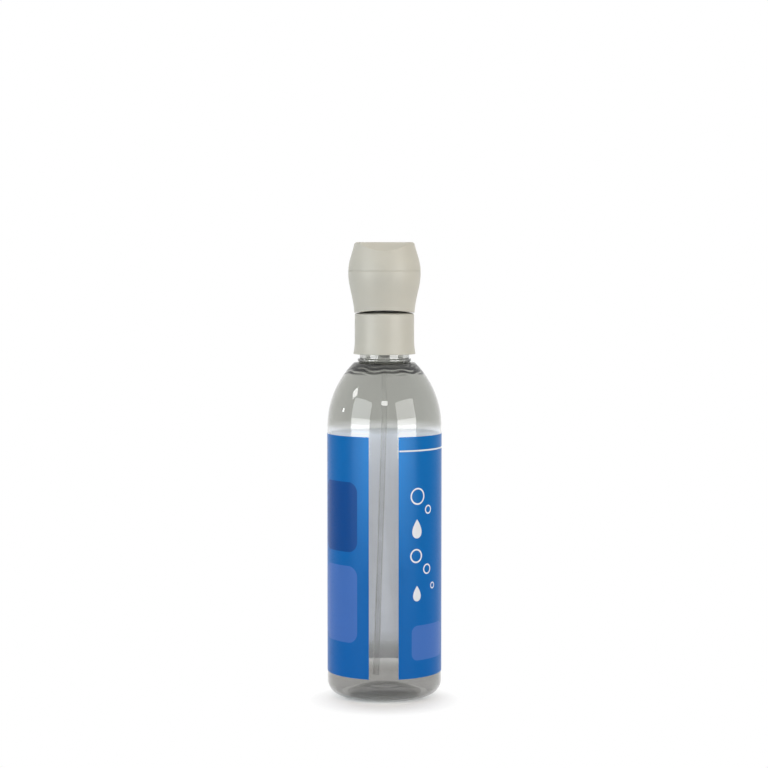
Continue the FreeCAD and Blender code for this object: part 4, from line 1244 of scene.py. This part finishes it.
@dataclass
class HeadShell:
    """A shell of the head whose side swells from one egg-shaped outline to another."""

    bottom: float
    side_top: float
    foot: Rim
    top: Rim
    levels: tuple[Pair, ...]
    wall: float = 1.5

    def outline(self, angle: np.ndarray, height: np.ndarray, inset: float) -> np.ndarray:
        """Distance from the axis to the side, drawn in by an inset.

        Args:
            angle: Direction from +x in radians.
            height: Height of each point.
            inset: How far the points lie inside the outer face.

        Returns:
            Distances of the broadcast shape.
        """
        share = np.clip((height - self.bottom) / (self.side_top - self.bottom), 0.0, 1.0)
        back, nose, reach = self.foot.toward(self.top, swelling(self.levels, share))
        return egg(angle, back - inset, nose - inset, reach)


@dataclass
class Shroud(HeadShell):
    """Lower shell of the head, arched over the collar and open at the front."""

    bottom: float = 221.35
    side_top: float = 245.65
    foot: Rim = Rim(17.4, 8.6, 9.6)
    top: Rim = Rim(20.85, 11.0, 20.0)
    levels: tuple[Pair, ...] = ((0.0, 0.0), (0.36, 0.36), (0.72, 0.88), (1.0, 1.0))
    arch: float = 1.75
    front: float = 12.5
    lean: float = 18.0
    rows: int = 150
    columns: int = 44
    soft_edge: float = 0.35

    def build(self, plastic: bpy.types.Material) -> bpy.types.Object:
        """Builds the wall as an outer and an inner sheet that run round the back.

        The rows start and end where the sloping front plane cuts the outline; the lower edge is a
        long arc across the back, raised in its middle.

        Args:
            plastic: Housing finish.

        Returns:
            The piece.
        """
        bend = (self.foot.back ** 2 + self.arch ** 2) / (2.0 * self.arch)
        share = np.linspace(0.0, 1.0, self.columns)[None, :]
        turn = np.linspace(0.0, 1.0, self.rows)[:, None]
        tries = np.linspace(0.05, math.pi, 1500)[:, None]
        level = self.bottom + share * (self.side_top - self.bottom)
        plane = self.front + (level - self.bottom) * math.tan(math.radians(self.lean))
        sheets = []
        for inset in (0.0, self.wall):
            reach = self.outline(tries, level, inset) * np.cos(tries)
            first = tries[np.argmin(np.abs(reach - plane), axis=0), 0][None, :]
            angle = first + (2.0 * math.pi - 2.0 * first) * turn
            height = np.broadcast_to(level, angle.shape)
            for _ in range(4):
                aside = self.outline(angle, height, inset) * np.sin(angle)
                aside = np.clip(aside, -self.foot.back, self.foot.back)
                low = self.bottom + self.arch - (bend - np.sqrt(bend ** 2 - aside ** 2))
                height = low + share * (self.side_top - low)
            sheets.append(polar(self.outline(angle, height, inset), angle, height))
        piece = make_piece("rear_shroud_shell", [Shell().add_wall(*sheets)], [plastic], Body.HEAD,
                           ("rear_shroud",), 40.0)
        soften(piece, self.soft_edge)
        return piece


def soften(piece: bpy.types.Object, width: float) -> None:
    """Rounds a piece's sharp edges over a width in millimetres.

    Args:
        piece: The object.
        width: Width of the rounds.
    """
    bevel = piece.modifiers.new("soft_edges", "BEVEL")
    bevel.width = width * MM
    bevel.segments = 3
    bevel.limit_method = "ANGLE"
    bevel.angle_limit = math.radians(50.0)
    bevel.harden_normals = False


@dataclass
class Cover(HeadShell):
    """Upper shell of the head with a round crown, a thumb scoop at the back and the nozzle hole."""

    bottom: float = 245.65
    side_top: float = 260.35
    foot: Rim = Rim(20.85, 11.0, 20.0)
    top: Rim = Rim(17.5, 8.6, 18.8)
    levels: tuple[Pair, ...] = ((0.0, 0.0), (0.35, 0.19), (0.7, 0.62), (1.0, 1.0))
    crown: float = 262.05
    crown_round: float = 1.7
    inner_round: float = 0.6
    scoop_radius: float = 70.0
    scoop_slope: float = 20.6
    scoop_back: float = 18.5
    scoop_depth: float = 4.9
    scoop_blend: float = 1.1
    tight_drop: float = 2.0
    tight_share: float = 0.55
    nozzle_height: float = 252.05
    nozzle_hole: float = 5.25
    nozzle_start: float = 22.0
    nozzle_depth: float = 14.0
    count: int = 190
    side_rows: int = 30
    edge_rows: int = 9
    top_rows: int = 44
    soft_edge: float = 0.3

    def ceiling(self, distance: np.ndarray, angle: np.ndarray) -> np.ndarray:
        """Height of the top: the lower of the crown's plane and the scoop's sloping cylinder.

        Args:
            distance: Distances from the axis.
            angle: Directions from +x in radians.

        Returns:
            Heights.
        """
        across, aside = distance * np.cos(angle), distance * np.sin(angle)
        slope = math.radians(self.scoop_slope)
        floor = self.crown - self.scoop_depth + math.tan(slope) * (across + self.scoop_back)
        dip = self.scoop_radius - np.sqrt(self.scoop_radius ** 2 - aside ** 2)
        return blended(np.full_like(floor, self.crown), floor + dip / math.cos(slope), self.scoop_blend)

    def skin(self, angle: np.ndarray, inset: float, edge: float) -> np.ndarray:
        """One face of the shell from the seam up the side, round the edge and in to the middle.

        The side stops one edge radius under the ceiling; the edge turns a quarter round while it
        moves in, tighter where the scoop cuts it; the top follows the ceiling along rays to the axis.

        Args:
            angle: Directions of the columns.
            inset: Depth of the face under the outside.
            edge: Radius of the crown's edge.

        Returns:
            Grid of shape (rows, len(angle), 3); the last row is one point.
        """
        angle = angle[None, :]
        height = np.full(angle.shape, self.side_top)
        for _ in range(6):
            ceiling = self.ceiling(self.outline(angle, height, inset), angle) - inset
            height = ceiling - edge
        drop = np.clip((self.crown - inset - ceiling) / self.tight_drop, 0.0, 1.0)
        bend = edge * (1.0 - self.tight_share * drop)
        share = np.linspace(0.0, 1.0, self.side_rows)[:, None]
        side_height = self.bottom + share * (ceiling - bend - self.bottom)
        side = self.outline(angle, side_height, inset)
        quarter = np.linspace(0.0, math.pi / 2.0, self.edge_rows)[1:, None]
        ring = side[-1:] - bend * (1.0 - np.cos(quarter))
        ring_height = self.ceiling(ring, angle) - inset - bend * (1.0 - np.sin(quarter))
        top = ring[-1:] * np.linspace(1.0, 0.0, self.top_rows)[1:, None]
        heights = np.vstack([side_height, ring_height, self.ceiling(top, angle) - inset])
        return polar(np.vstack([side, ring, top]), angle, heights)

    def build(self, plastic: bpy.types.Material) -> bpy.types.Object:
        """Builds the closed shell and cuts the nozzle hole through its nose.

        Args:
            plastic: Housing finish.

        Returns:
            The piece.
        """
        angle = round_angles(self.count)
        outer = self.skin(angle, 0.0, self.crown_round)
        inner = self.skin(angle, self.wall, self.inner_round)
        grid = np.concatenate([outer[::-1], inner])
        piece = make_piece("top_cover_shell", [Shell().add(grid, wrap_columns=True)], [plastic],
                           Body.HEAD, ("top_cover",), 40.0)
        self._pierce(piece)
        soften(piece, self.soft_edge)
        return piece

    def _pierce(self, piece: bpy.types.Object) -> None:
        """Takes a round rod out of the nose and keeps the result as the piece's own mesh.

        Args:
            piece: The closed shell.
        """
        hole, depth = self.nozzle_hole, self.nozzle_depth
        line = np.array([(0.0, 0.0), (hole, 0.0), (hole, depth), (0.0, depth)])
        rod = turned(line, 72, Axis.FORWARD, (self.nozzle_start, self.nozzle_height))
        cutter = plain_object("nozzle_rod", Shell().add(rod, wrap_columns=True))
        take = piece.modifiers.new("nozzle_hole", "BOOLEAN")
        take.operation = "DIFFERENCE"
        take.solver = "EXACT"
        take.object = cutter
        bpy.context.view_layer.update()
        graph = bpy.context.evaluated_depsgraph_get()
        cut = bpy.data.meshes.new_from_object(piece.evaluated_get(graph))
        piece.modifiers.clear()
        old = piece.data
        piece.data = cut
        bpy.data.meshes.remove(old)
        bpy.data.objects.remove(cutter)
        cut.name = "top_cover_shell"
        cut.shade_smooth()
        cut.set_sharp_from_angle(angle=math.radians(40.0))


@dataclass
class DipTube:
    """Thin tube that hangs from the riser, bends a little and runs straight to the foot."""

    radius: float = 1.8
    wall: float = 0.6
    top: float = 203.95
    straight: float = 22.0
    bend: float = 500.0
    lean: float = 4.5
    tail: float = 134.5
    turn: float = 24.0
    rings: int = 240
    sides: int = 28

    def build(self, plastic: bpy.types.Material) -> bpy.types.Object:
        """Carries a ring along the spine; at each place it lies square to the spine's direction.

        The direction swings evenly through the lean over the bend, and the spine is the running
        sum of the direction.

        Args:
            plastic: Tube finish.

        Returns:
            The piece.
        """
        lean = math.radians(self.lean)
        length = self.straight + self.bend * lean + self.tail
        along = np.linspace(0.0, length, self.rings)
        swing = np.clip((along - self.straight) / self.bend, 0.0, lean)
        step = np.diff(along, prepend=0.0)
        out = np.cumsum(np.sin(swing) * step)
        down = np.cumsum(np.cos(swing) * step)
        angle = round_angles(self.sides)
        turn = math.radians(self.turn)
        walls = []
        for radius in (self.radius, self.radius - self.wall):
            level = radius * np.cos(angle)[None, :]
            reach = out[:, None] + level * np.cos(swing)[:, None]
            height = self.top - down[:, None] + level * np.sin(swing)[:, None]
            aside = np.broadcast_to(radius * np.sin(angle), reach.shape)
            walls.append(np.stack([reach * math.cos(turn) - aside * math.sin(turn),
                                   reach * math.sin(turn) + aside * math.cos(turn), height], axis=-1))
        grid = np.concatenate([walls[0], walls[1][::-1]])
        shell = Shell().add(grid, wrap_rows=True, wrap_columns=True)
        return make_piece("dip_tube_wall", [shell], [plastic], Body.HEAD, ("dip_tube",))


def bar(outline: np.ndarray, middle: Pair, low: float, high: float) -> Shell:
    """Pushes an outline in the xz plane along y and closes it with fans about a middle point.

    Args:
        outline: Closed outline as (x, z) rows.
        middle: Point that sees the whole outline.
        low: Where the bar starts along y.
        high: Where the bar ends.

    Returns:
        The closed shell.
    """
    hub = np.broadcast_to(np.array(middle), outline.shape)
    rows = [np.insert(line, 1, place, axis=1)
            for line, place in ((hub, low), (outline, low), (outline, high), (hub, high))]
    return Shell().add(np.stack(rows), wrap_columns=True)


@dataclass
class Trigger:
    """Hollow finger lever: a crowned blade on an arc, two arms to the pivot and a pusher."""

    centre: Pair = (88.1, 242.05)
    front: float = 57.3
    depth: float = 4.7
    top: float = 2.7
    tip: float = -37.4
    half_width: float = 9.0
    tip_round: float = 8.0
    tip_power: float = 3.2
    tip_steps: int = 61
    side_steps: int = 40
    edge: float = 1.6
    inner_edge: float = 0.6
    crown: float = 0.7
    wall: float = 1.5
    pivot: Pair = (20.0, 252.05)
    hub: float = 3.5
    pivot_hole: float = 1.95
    arm_inner: float = 4.6
    arm_outer: float = 7.2
    arm: tuple[Corner, ...] = (
        (19.5, 249.15, 0.0), (25.5, 243.2, 1.0), (29.8, 242.6, 0.0), (29.8, 244.4, 0.0),
        (24.4, 244.55, 0.8), (22.9, 251.45, 0.0))
    arm_middle: Pair = (24.1, 244.1)
    pusher_nose: float = 21.647
    pusher_middle: float = 27.0
    pusher_end: float = 30.9
    pusher_height: float = 231.55
    pusher_radius: float = 1.6
    pusher_half: float = 1.5

    def border(self, length: float) -> tuple[np.ndarray, np.ndarray]:
        """Edge of the blade seen from the front, from one top corner round the tip to the other.

        The sides are straight. The tip is half a rounded oblong, whose powers of the sine and the
        cosine keep its corners full.

        Args:
            length: Length of the blade along its arc.

        Returns:
            Middle points on the blade's spine and edge points, as (aside, along) rows.
        """
        turn = np.linspace(0.0, math.pi, self.tip_steps)
        power = 2.0 / self.tip_power
        aside = self.half_width * np.sign(np.cos(turn)) * np.abs(np.cos(turn)) ** power
        along = self.tip_round * (1.0 - np.sin(turn) ** power)
        side = np.linspace(length, self.tip_round, self.side_steps)[:-1]
        left = np.stack([np.full_like(side, self.half_width), side], axis=1)
        edge = np.vstack([left, np.stack([aside, along], axis=1), (left * (-1.0, 1.0))[::-1]])
        spine = np.stack([np.zeros(len(edge)), np.maximum(edge[:, 1], self.tip_round)], axis=1)
        return spine, edge

    def face(self, inset: float, edge: float) -> np.ndarray:
        """One face of the tray: from the spine over the crown, round the edge and along the wall.

        The crown falls with the square of the share of the way to the edge, and the edge is a
        quarter round. A point's depth is laid off from the blade's arc towards the back.

        Args:
            inset: Depth of the face under the outside.
            edge: Radius of the edge.

        Returns:
            Grid of rings from the spine to the rim.
        """
        top, tip = math.radians(self.top), math.radians(self.tip)
        length = (top - tip) * (self.front + self.depth)
        spine, border = self.border(length)
        way = border - spine
        reach = np.linalg.norm(way, axis=1, keepdims=True)
        share = np.linspace(0.0, 1.0, 12)
        quarter = np.linspace(0.0, math.pi / 2.0, 8)[1:]
        back = np.linspace(0.0, 1.0, 6)[1:]
        start = self.crown + inset + edge
        depth = np.concatenate([self.crown * share ** 2 + inset, start - edge * np.cos(quarter),
                                start + (self.depth - start) * back])
        out = np.concatenate([share, np.ones(len(quarter) + len(back))])[:, None, None]
        more = np.concatenate([0.0 * share, edge * np.sin(quarter), np.full(len(back), edge)])
        flat = spine + way / reach * (out * (reach - inset - edge) + more[:, None, None])
        angle = tip + flat[..., 1] / length * (top - tip)
        radius = self.front + depth[:, None]
        return np.stack([self.centre[0] - radius * np.cos(angle), flat[..., 0],
                         self.centre[1] + radius * np.sin(angle)], axis=-1)

    def tray(self) -> Shell:
        """Closes the outer and the inner face along the rim and the two top edges.

        Returns:
            The closed shell of the blade.
        """
        outer, inner = self.face(0.0, self.edge), self.face(self.wall, self.inner_edge)
        shell = Shell().add(outer).add(inner, flip=True)
        shell.add(np.stack([outer[-1], inner[-1]]))
        shell.add(np.stack([outer[:, 0], inner[:, 0]]))
        return shell.add(np.stack([outer[:, -1], inner[:, -1]]), flip=True)

    def arms(self) -> list[Shell]:
        """Two arms from the blade's top to round eyes on the pivot.

        An arm is a flat bar, and its eye is a ring whose oblong section is turned about the pivot.

        Returns:
            The closed shells.
        """
        across, height = self.pivot
        arm = rounded(list(self.arm))
        angle = round_angles(48)
        shells = []
        for low, high in ((self.arm_inner, self.arm_outer), (-self.arm_outer, -self.arm_inner)):
            shells.append(bar(arm, self.arm_middle, low, high))
            corners = ((self.pivot_hole, low), (self.hub, low), (self.hub, high), (self.pivot_hole, high))
            rings = [np.stack([across + radius * np.cos(angle), np.full_like(angle, place),
                               height + radius * np.sin(angle)], axis=-1) for radius, place in corners]
            shells.append(Shell().add(np.stack(rings), wrap_rows=True, wrap_columns=True))
        return shells

    def build(self, plastic: bpy.types.Material) -> bpy.types.Object:
        """Builds the blade, its arms and the pusher with its round nose.

        Args:
            plastic: Housing finish.

        Returns:
            The piece.
        """
        nose, end = self.pusher_nose, self.pusher_end
        low, high = self.pusher_height - self.pusher_radius, self.pusher_height + self.pusher_radius
        soft = self.pusher_radius - 0.01
        outline = rounded([(end, low, 0), (nose, low, soft), (nose, high, soft), (end, high, 0)])
        pusher = bar(outline, (self.pusher_middle, self.pusher_height), -self.pusher_half, self.pusher_half)
        return make_piece("trigger_lever", [self.tray(), pusher] + self.arms(), [plastic], Body.TRIGGER,
                          ("trigger",), 40.0)


@dataclass
class Spring:
    """Round wire wound into a coil."""

    node: str
    joint: str
    axis: Axis
    wire: float
    turns: float
    keep: float
    steps: int = 28
    sides: int = 12

    def build(self, metal: bpy.types.Material) -> bpy.types.Object:
        """Carries the wire's ring along a helix, square to its run, with a disc at each end.

        The helix climbs evenly from end to end of the solid. The ring lies in the plane of the
        outward direction and of the run crossed with it.

        Args:
            metal: Wire finish.

        Returns:
            The piece.
        """
        low, high = (np.array(corner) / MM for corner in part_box(self.node))
        ahead = self.axis is Axis.FORWARD
        start, end = (low[0], high[0]) if ahead else (low[2], high[2])
        radius = (high[1] - low[1] - self.wire) / 2.0
        angle = np.linspace(0.0, 2.0 * math.pi * self.turns, int(self.steps * self.turns) + 1)
        climb = (end - start - self.wire) / angle[-1]
        out = np.stack([np.cos(angle), np.sin(angle), np.zeros_like(angle)], axis=-1)
        run = np.stack([-radius * out[:, 1], radius * out[:, 0], np.full_like(angle, climb)], axis=-1)
        across = np.cross(run / np.linalg.norm(run, axis=1, keepdims=True), out)
        spine = radius * out + np.outer(start + self.wire / 2.0 + climb * angle, (0.0, 0.0, 1.0))
        turn = round_angles(self.sides)[None, :, None]
        ring = np.cos(turn) * out[:, None] + np.sin(turn) * across[:, None]
        grid = spine[:, None] + self.wire / 2.0 * ring
        ends = np.broadcast_to(spine[[0, -1], None], (2, self.sides, 3))
        grid = np.concatenate([ends[:1], grid, ends[1:]])
        if ahead:
            level = (low[2] + high[2]) / 2.0
            grid = np.stack([grid[..., 2], grid[..., 1], level - grid[..., 0]], axis=-1)
        shell = Shell().add(grid, wrap_columns=True)
        piece = make_piece(self.node + "_coil", [shell], [metal], Body.HEAD, (self.node,))
        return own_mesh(piece)


SPRINGS = (
    Spring("buffer_spring", "buffer_stroke", Axis.UP, 0.8, 5.0, 0.57),
    Spring("return_spring", "piston_stroke", Axis.FORWARD, 0.8, 7.0, 0.54),
    Spring("outlet_spring", "outlet_valve_open", Axis.FORWARD, 0.4, 3.5, 0.6),
)


class Reach(Enum):
    """What a lamp's light reaches: matt surfaces or mirrors."""

    MATT = "matt"
    MIRROR = "mirror"


@dataclass(frozen=True)
class Lamp:
    """A soft rectangular lamp: direction and distance from the bottle in metres, size and power."""

    name: str
    azimuth: float
    elevation: float
    distance: float
    width: float
    height: float
    power: float
    reach: Reach
    colour: Colour = (1.0, 1.0, 1.0)
    spin: float = 0.0
    aim: float = 0.16

    def hang(self) -> None:
        """Places the lamp on a sphere round a point on the bottle's axis, facing it and spun."""
        light = bpy.data.lights.new(self.name, "AREA")
        light.shape = "RECTANGLE"
        light.size = self.width
        light.size_y = self.height
        light.energy = self.power
        light.color = self.colour
        holder = placed(self.name, light)
        side = math.radians(self.azimuth)
        lift = math.radians(self.elevation)
        level = math.cos(lift)
        away = np.array([-math.cos(side) * level, math.sin(side) * level, math.sin(lift)])
        holder.location = tuple(away * self.distance + np.array([0.0, 0.0, self.aim]))
        facing = Euler((math.pi / 2.0 - lift, 0.0, math.atan2(away[1], away[0]) + math.pi / 2.0))
        spun = facing.to_matrix() @ Matrix.Rotation(math.radians(self.spin), 3, "Z")
        holder.rotation_euler = spun.to_euler()
        holder.visible_camera = False
        holder.visible_transmission = False
        holder.visible_glossy = self.reach is not Reach.MATT
        holder.visible_diffuse = self.reach is not Reach.MIRROR


LAMPS = (
    Lamp("left_window", 50.0, 13.0, 1.5, 1.1, 1.0, 13.0, Reach.MIRROR, (0.95, 0.99, 1.0)),
    Lamp("right_window", -46.0, 13.0, 1.5, 1.1, 1.0, 13.0, Reach.MIRROR, (1.0, 0.99, 0.97)),
    Lamp("left_middle", 50.0, 2.5, 1.46, 1.07, 0.3, 4.1, Reach.MIRROR),
    Lamp("right_middle", -46.0, 2.5, 1.46, 1.07, 0.3, 4.1, Reach.MIRROR),
    Lamp("left_sill", 50.0, -3.0, 1.43, 1.05, 0.2, 2.2, Reach.MIRROR),
    Lamp("right_sill", -46.0, -3.0, 1.43, 1.05, 0.2, 2.2, Reach.MIRROR),
    Lamp("small_high", 0.0, 30.0, 1.7, 0.36, 0.17, 1.8, Reach.MIRROR),
    Lamp("small_side", 78.0, 33.0, 1.5, 0.26, 0.26, 2.0, Reach.MIRROR, spin=45.0),
    Lamp("small_far", 95.0, 12.0, 1.5, 0.1, 0.1, 0.5, Reach.MIRROR, spin=20.0),
    Lamp("left_key", 60.0, 30.0, 1.5, 1.1, 0.9, 9.7, Reach.MATT, (0.92, 0.97, 1.0)),
    Lamp("right_key", -58.0, 30.0, 1.5, 1.1, 0.9, 11.1, Reach.MATT, (1.0, 0.96, 0.90)),
    Lamp("front_key", 172.0, 13.0, 1.6, 1.5, 1.2, 13.0, Reach.MATT),
    Lamp("warm_top", 20.0, 78.0, 1.6, 0.6, 0.6, 4.0, Reach.MATT, (1.0, 0.80, 0.58)),
)


@dataclass
class Studio:
    """Floor, soft lamps, white surroundings and the camera behind the bottle."""

    distance: float = 1202.0
    aside: float = 0.25
    eye: float = 253.0
    pitch: float = 3.467
    lens: float = 97.6
    sensor: float = 36.0
    fill: float = 0.16
    floor_rings: tuple[float, ...] = (0.0, 400.0, 1000.0, 4000.0)
    floor_colour: Colour = (0.95, 0.95, 0.96)
    shade_shift: float = 20.0
    shade_band: Pair = (20.0, 43.0)
    shade_share: float = 0.05

    def build(self) -> None:
        """Sets up everything round the object."""
        self._camera()
        for lamp in LAMPS:
            lamp.hang()
        self._world()
        self._floor()
        bpy.context.scene.view_settings.view_transform = "Standard"

    def _camera(self) -> None:
        """Places the camera on -x at eye height, tilted down a little."""
        camera = bpy.data.cameras.new("camera")
        camera.lens = self.lens
        camera.sensor_width = self.sensor
        camera.clip_start = 0.05
        camera.clip_end = 50.0
        holder = placed("camera", camera)
        holder.location = (-self.distance * MM, self.aside * MM, self.eye * MM)
        holder.rotation_euler = (math.radians(90.0 - self.pitch), 0.0, math.radians(-90.0))
        bpy.context.scene.camera = holder

    def _seen(self, tree: bpy.types.NodeTree) -> Socket:
        """Gives 1 for rays that come from the camera, a mirror or clear plastic.

        Args:
            tree: Nodes of a material or of the surroundings.

        Returns:
            Socket that is 1 for those rays and 0 for others.
        """
        path = tree.nodes.new("ShaderNodeLightPath")
        result = path.outputs["Is Camera Ray"]
        for name in ("Is Glossy Ray", "Is Transmission Ray"):
            node = tree.nodes.new("ShaderNodeMath")
            node.operation = "MAXIMUM"
            tree.links.new(result, node.inputs[0])
            tree.links.new(path.outputs[name], node.inputs[1])
            result = node.outputs[0]
        return result

    def _world(self) -> None:
        """White where it is seen, and a dimmer even light elsewhere."""
        world = bpy.data.worlds.new("surroundings")
        world.use_nodes = True
        tree = world.node_tree
        shade = tree.nodes["Background"]
        shade.inputs["Color"].default_value = (1.0, 1.0, 1.0, 1.0)
        strength = tree.nodes.new("ShaderNodeMapRange")
        strength.inputs["To Min"].default_value = self.fill
        strength.inputs["To Max"].default_value = 1.0
        tree.links.new(self._seen(tree), strength.inputs["Value"])
        tree.links.new(strength.outputs["Result"], shade.inputs["Strength"])
        bpy.context.scene.world = world

    def _floor(self) -> None:
        """Pale disc that fades into the white surroundings away from the bottle."""
        line = np.array([(radius, 0.0) for radius in self.floor_rings])
        floor = plain_object("floor", Shell().add(turned(line, 96), wrap_columns=True))
        sketch = NodeSketch("floor_paint")
        sketch.set(Roughness=0.55, Base_Color=self.floor_colour, Specular_IOR_Level=0.1)
        across, aside, _ = sketch.axes()
        across = sketch.math("ADD", across, self.shade_shift * MM)
        far = sketch.band(sketch.length(across, aside), self.shade_band, self.shade_share, 1.0)
        share = sketch.math("MULTIPLY", far, self._seen(sketch.tree))
        sketch.lay_over(share, sketch.node("ShaderNodeEmission").outputs[0])
        floor.data.materials.append(sketch.material)


@dataclass
class InnerWorks:
    """Solids that keep their shapes: which finish each one takes."""

    # Painted shade: these take a dark grey so the gap over the collar reads as shade.
    painted_shade_plastics: tuple[str, ...] = ("pump_body", "pump_piston", "piston_retainer", "valve_plug",
                                 "swirl_insert", "orifice_cup")
    pale: tuple[str, ...] = ("buffer_cap", "buffer_piston", "outlet_valve")
    seals: tuple[str, ...] = ("neck_gasket", "buffer_outer_seal", "buffer_inner_seal", "transfer_flap",
                              "piston_seal")
    balls: tuple[str, ...] = ("inlet_ball",)
    housing: tuple[str, ...] = ("nozzle_bezel",)

    def dress(self, finishes: dict[str, bpy.types.Material]) -> None:
        """Gives every solid its finish.

        Args:
            finishes: Finishes by group name.
        """
        for group, material in finishes.items():
            for name in getattr(self, group):
                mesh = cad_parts[name].data
                mesh.materials.clear()
                mesh.materials.append(material)
                LOG.info("%s: %s", name, material.name)


def main() -> None:
    """Builds the studio, the pieces and their finishes."""
    logging.basicConfig(level=logging.INFO, format="%(name)s %(message)s")
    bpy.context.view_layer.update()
    Studio().build()
    housing = MouldedPlastic("housing_plastic", srgb(206, 204, 193), srgb(200, 199, 189)).material()
    # Painted shade: the pump's plastics are dark grey so the gap over the collar reads dark.
    works = MouldedPlastic("pump_plastic", srgb(62, 63, 64), srgb(54, 55, 57), 0.38).material()
    pale = MouldedPlastic("pale_plastic", srgb(206, 205, 198), srgb(196, 195, 190), 0.36).material()
    seals = MouldedPlastic("seal_rubber", srgb(120, 121, 122), srgb(106, 107, 110), 0.6).material()
    # Clear plastic: painted grey shade above and below the wrap, its plain clear tint, then painted dark
    # shade at the gather, the foot and the heel.
    clear = ClearPlastic("clear_plastic", (0.57, 0.575, 0.545), (0.955, 0.97, 1.0), (0.08, 0.08, 0.07),
                         (0.575, 0.575, 0.565), (0.485, 0.48, 0.465)).material()
    tube = TubePlastic("tube_plastic", (0.95, 0.95, 0.94)).material()
    steel = Metal("spring_steel", (0.62, 0.61, 0.59), 0.22).material()
    ball = Metal("ball_steel", (0.70, 0.70, 0.70), 0.1).material()
    # The last colour is painted sheen near the gap's edges.
    film = PrintedFilm("printed_film", Wrap.outer, srgb(0, 111, 189), srgb(0, 103, 185),
                       srgb(40, 140, 224)).material()
    # Painted light: the faint blue stands in for light tinted by the blue print.
    back = FilmBack("film_back", (0.86, 0.91, 1.0)).material()
    Bottle().build(clear)
    Wrap().build(film, back)
    Collar().build(housing)
    Shroud().build(housing)
    Cover().build(housing)
    DipTube().build(tube)
    Trigger().build(housing)
    for spring in SPRINGS:
        spring.build(steel)
    InnerWorks().dress({"painted_shade_plastics": works, "pale": pale, "seals": seals, "balls": ball, "housing": housing})
    bpy.context.view_layer.update()


if __name__ == "__main__":
    main()
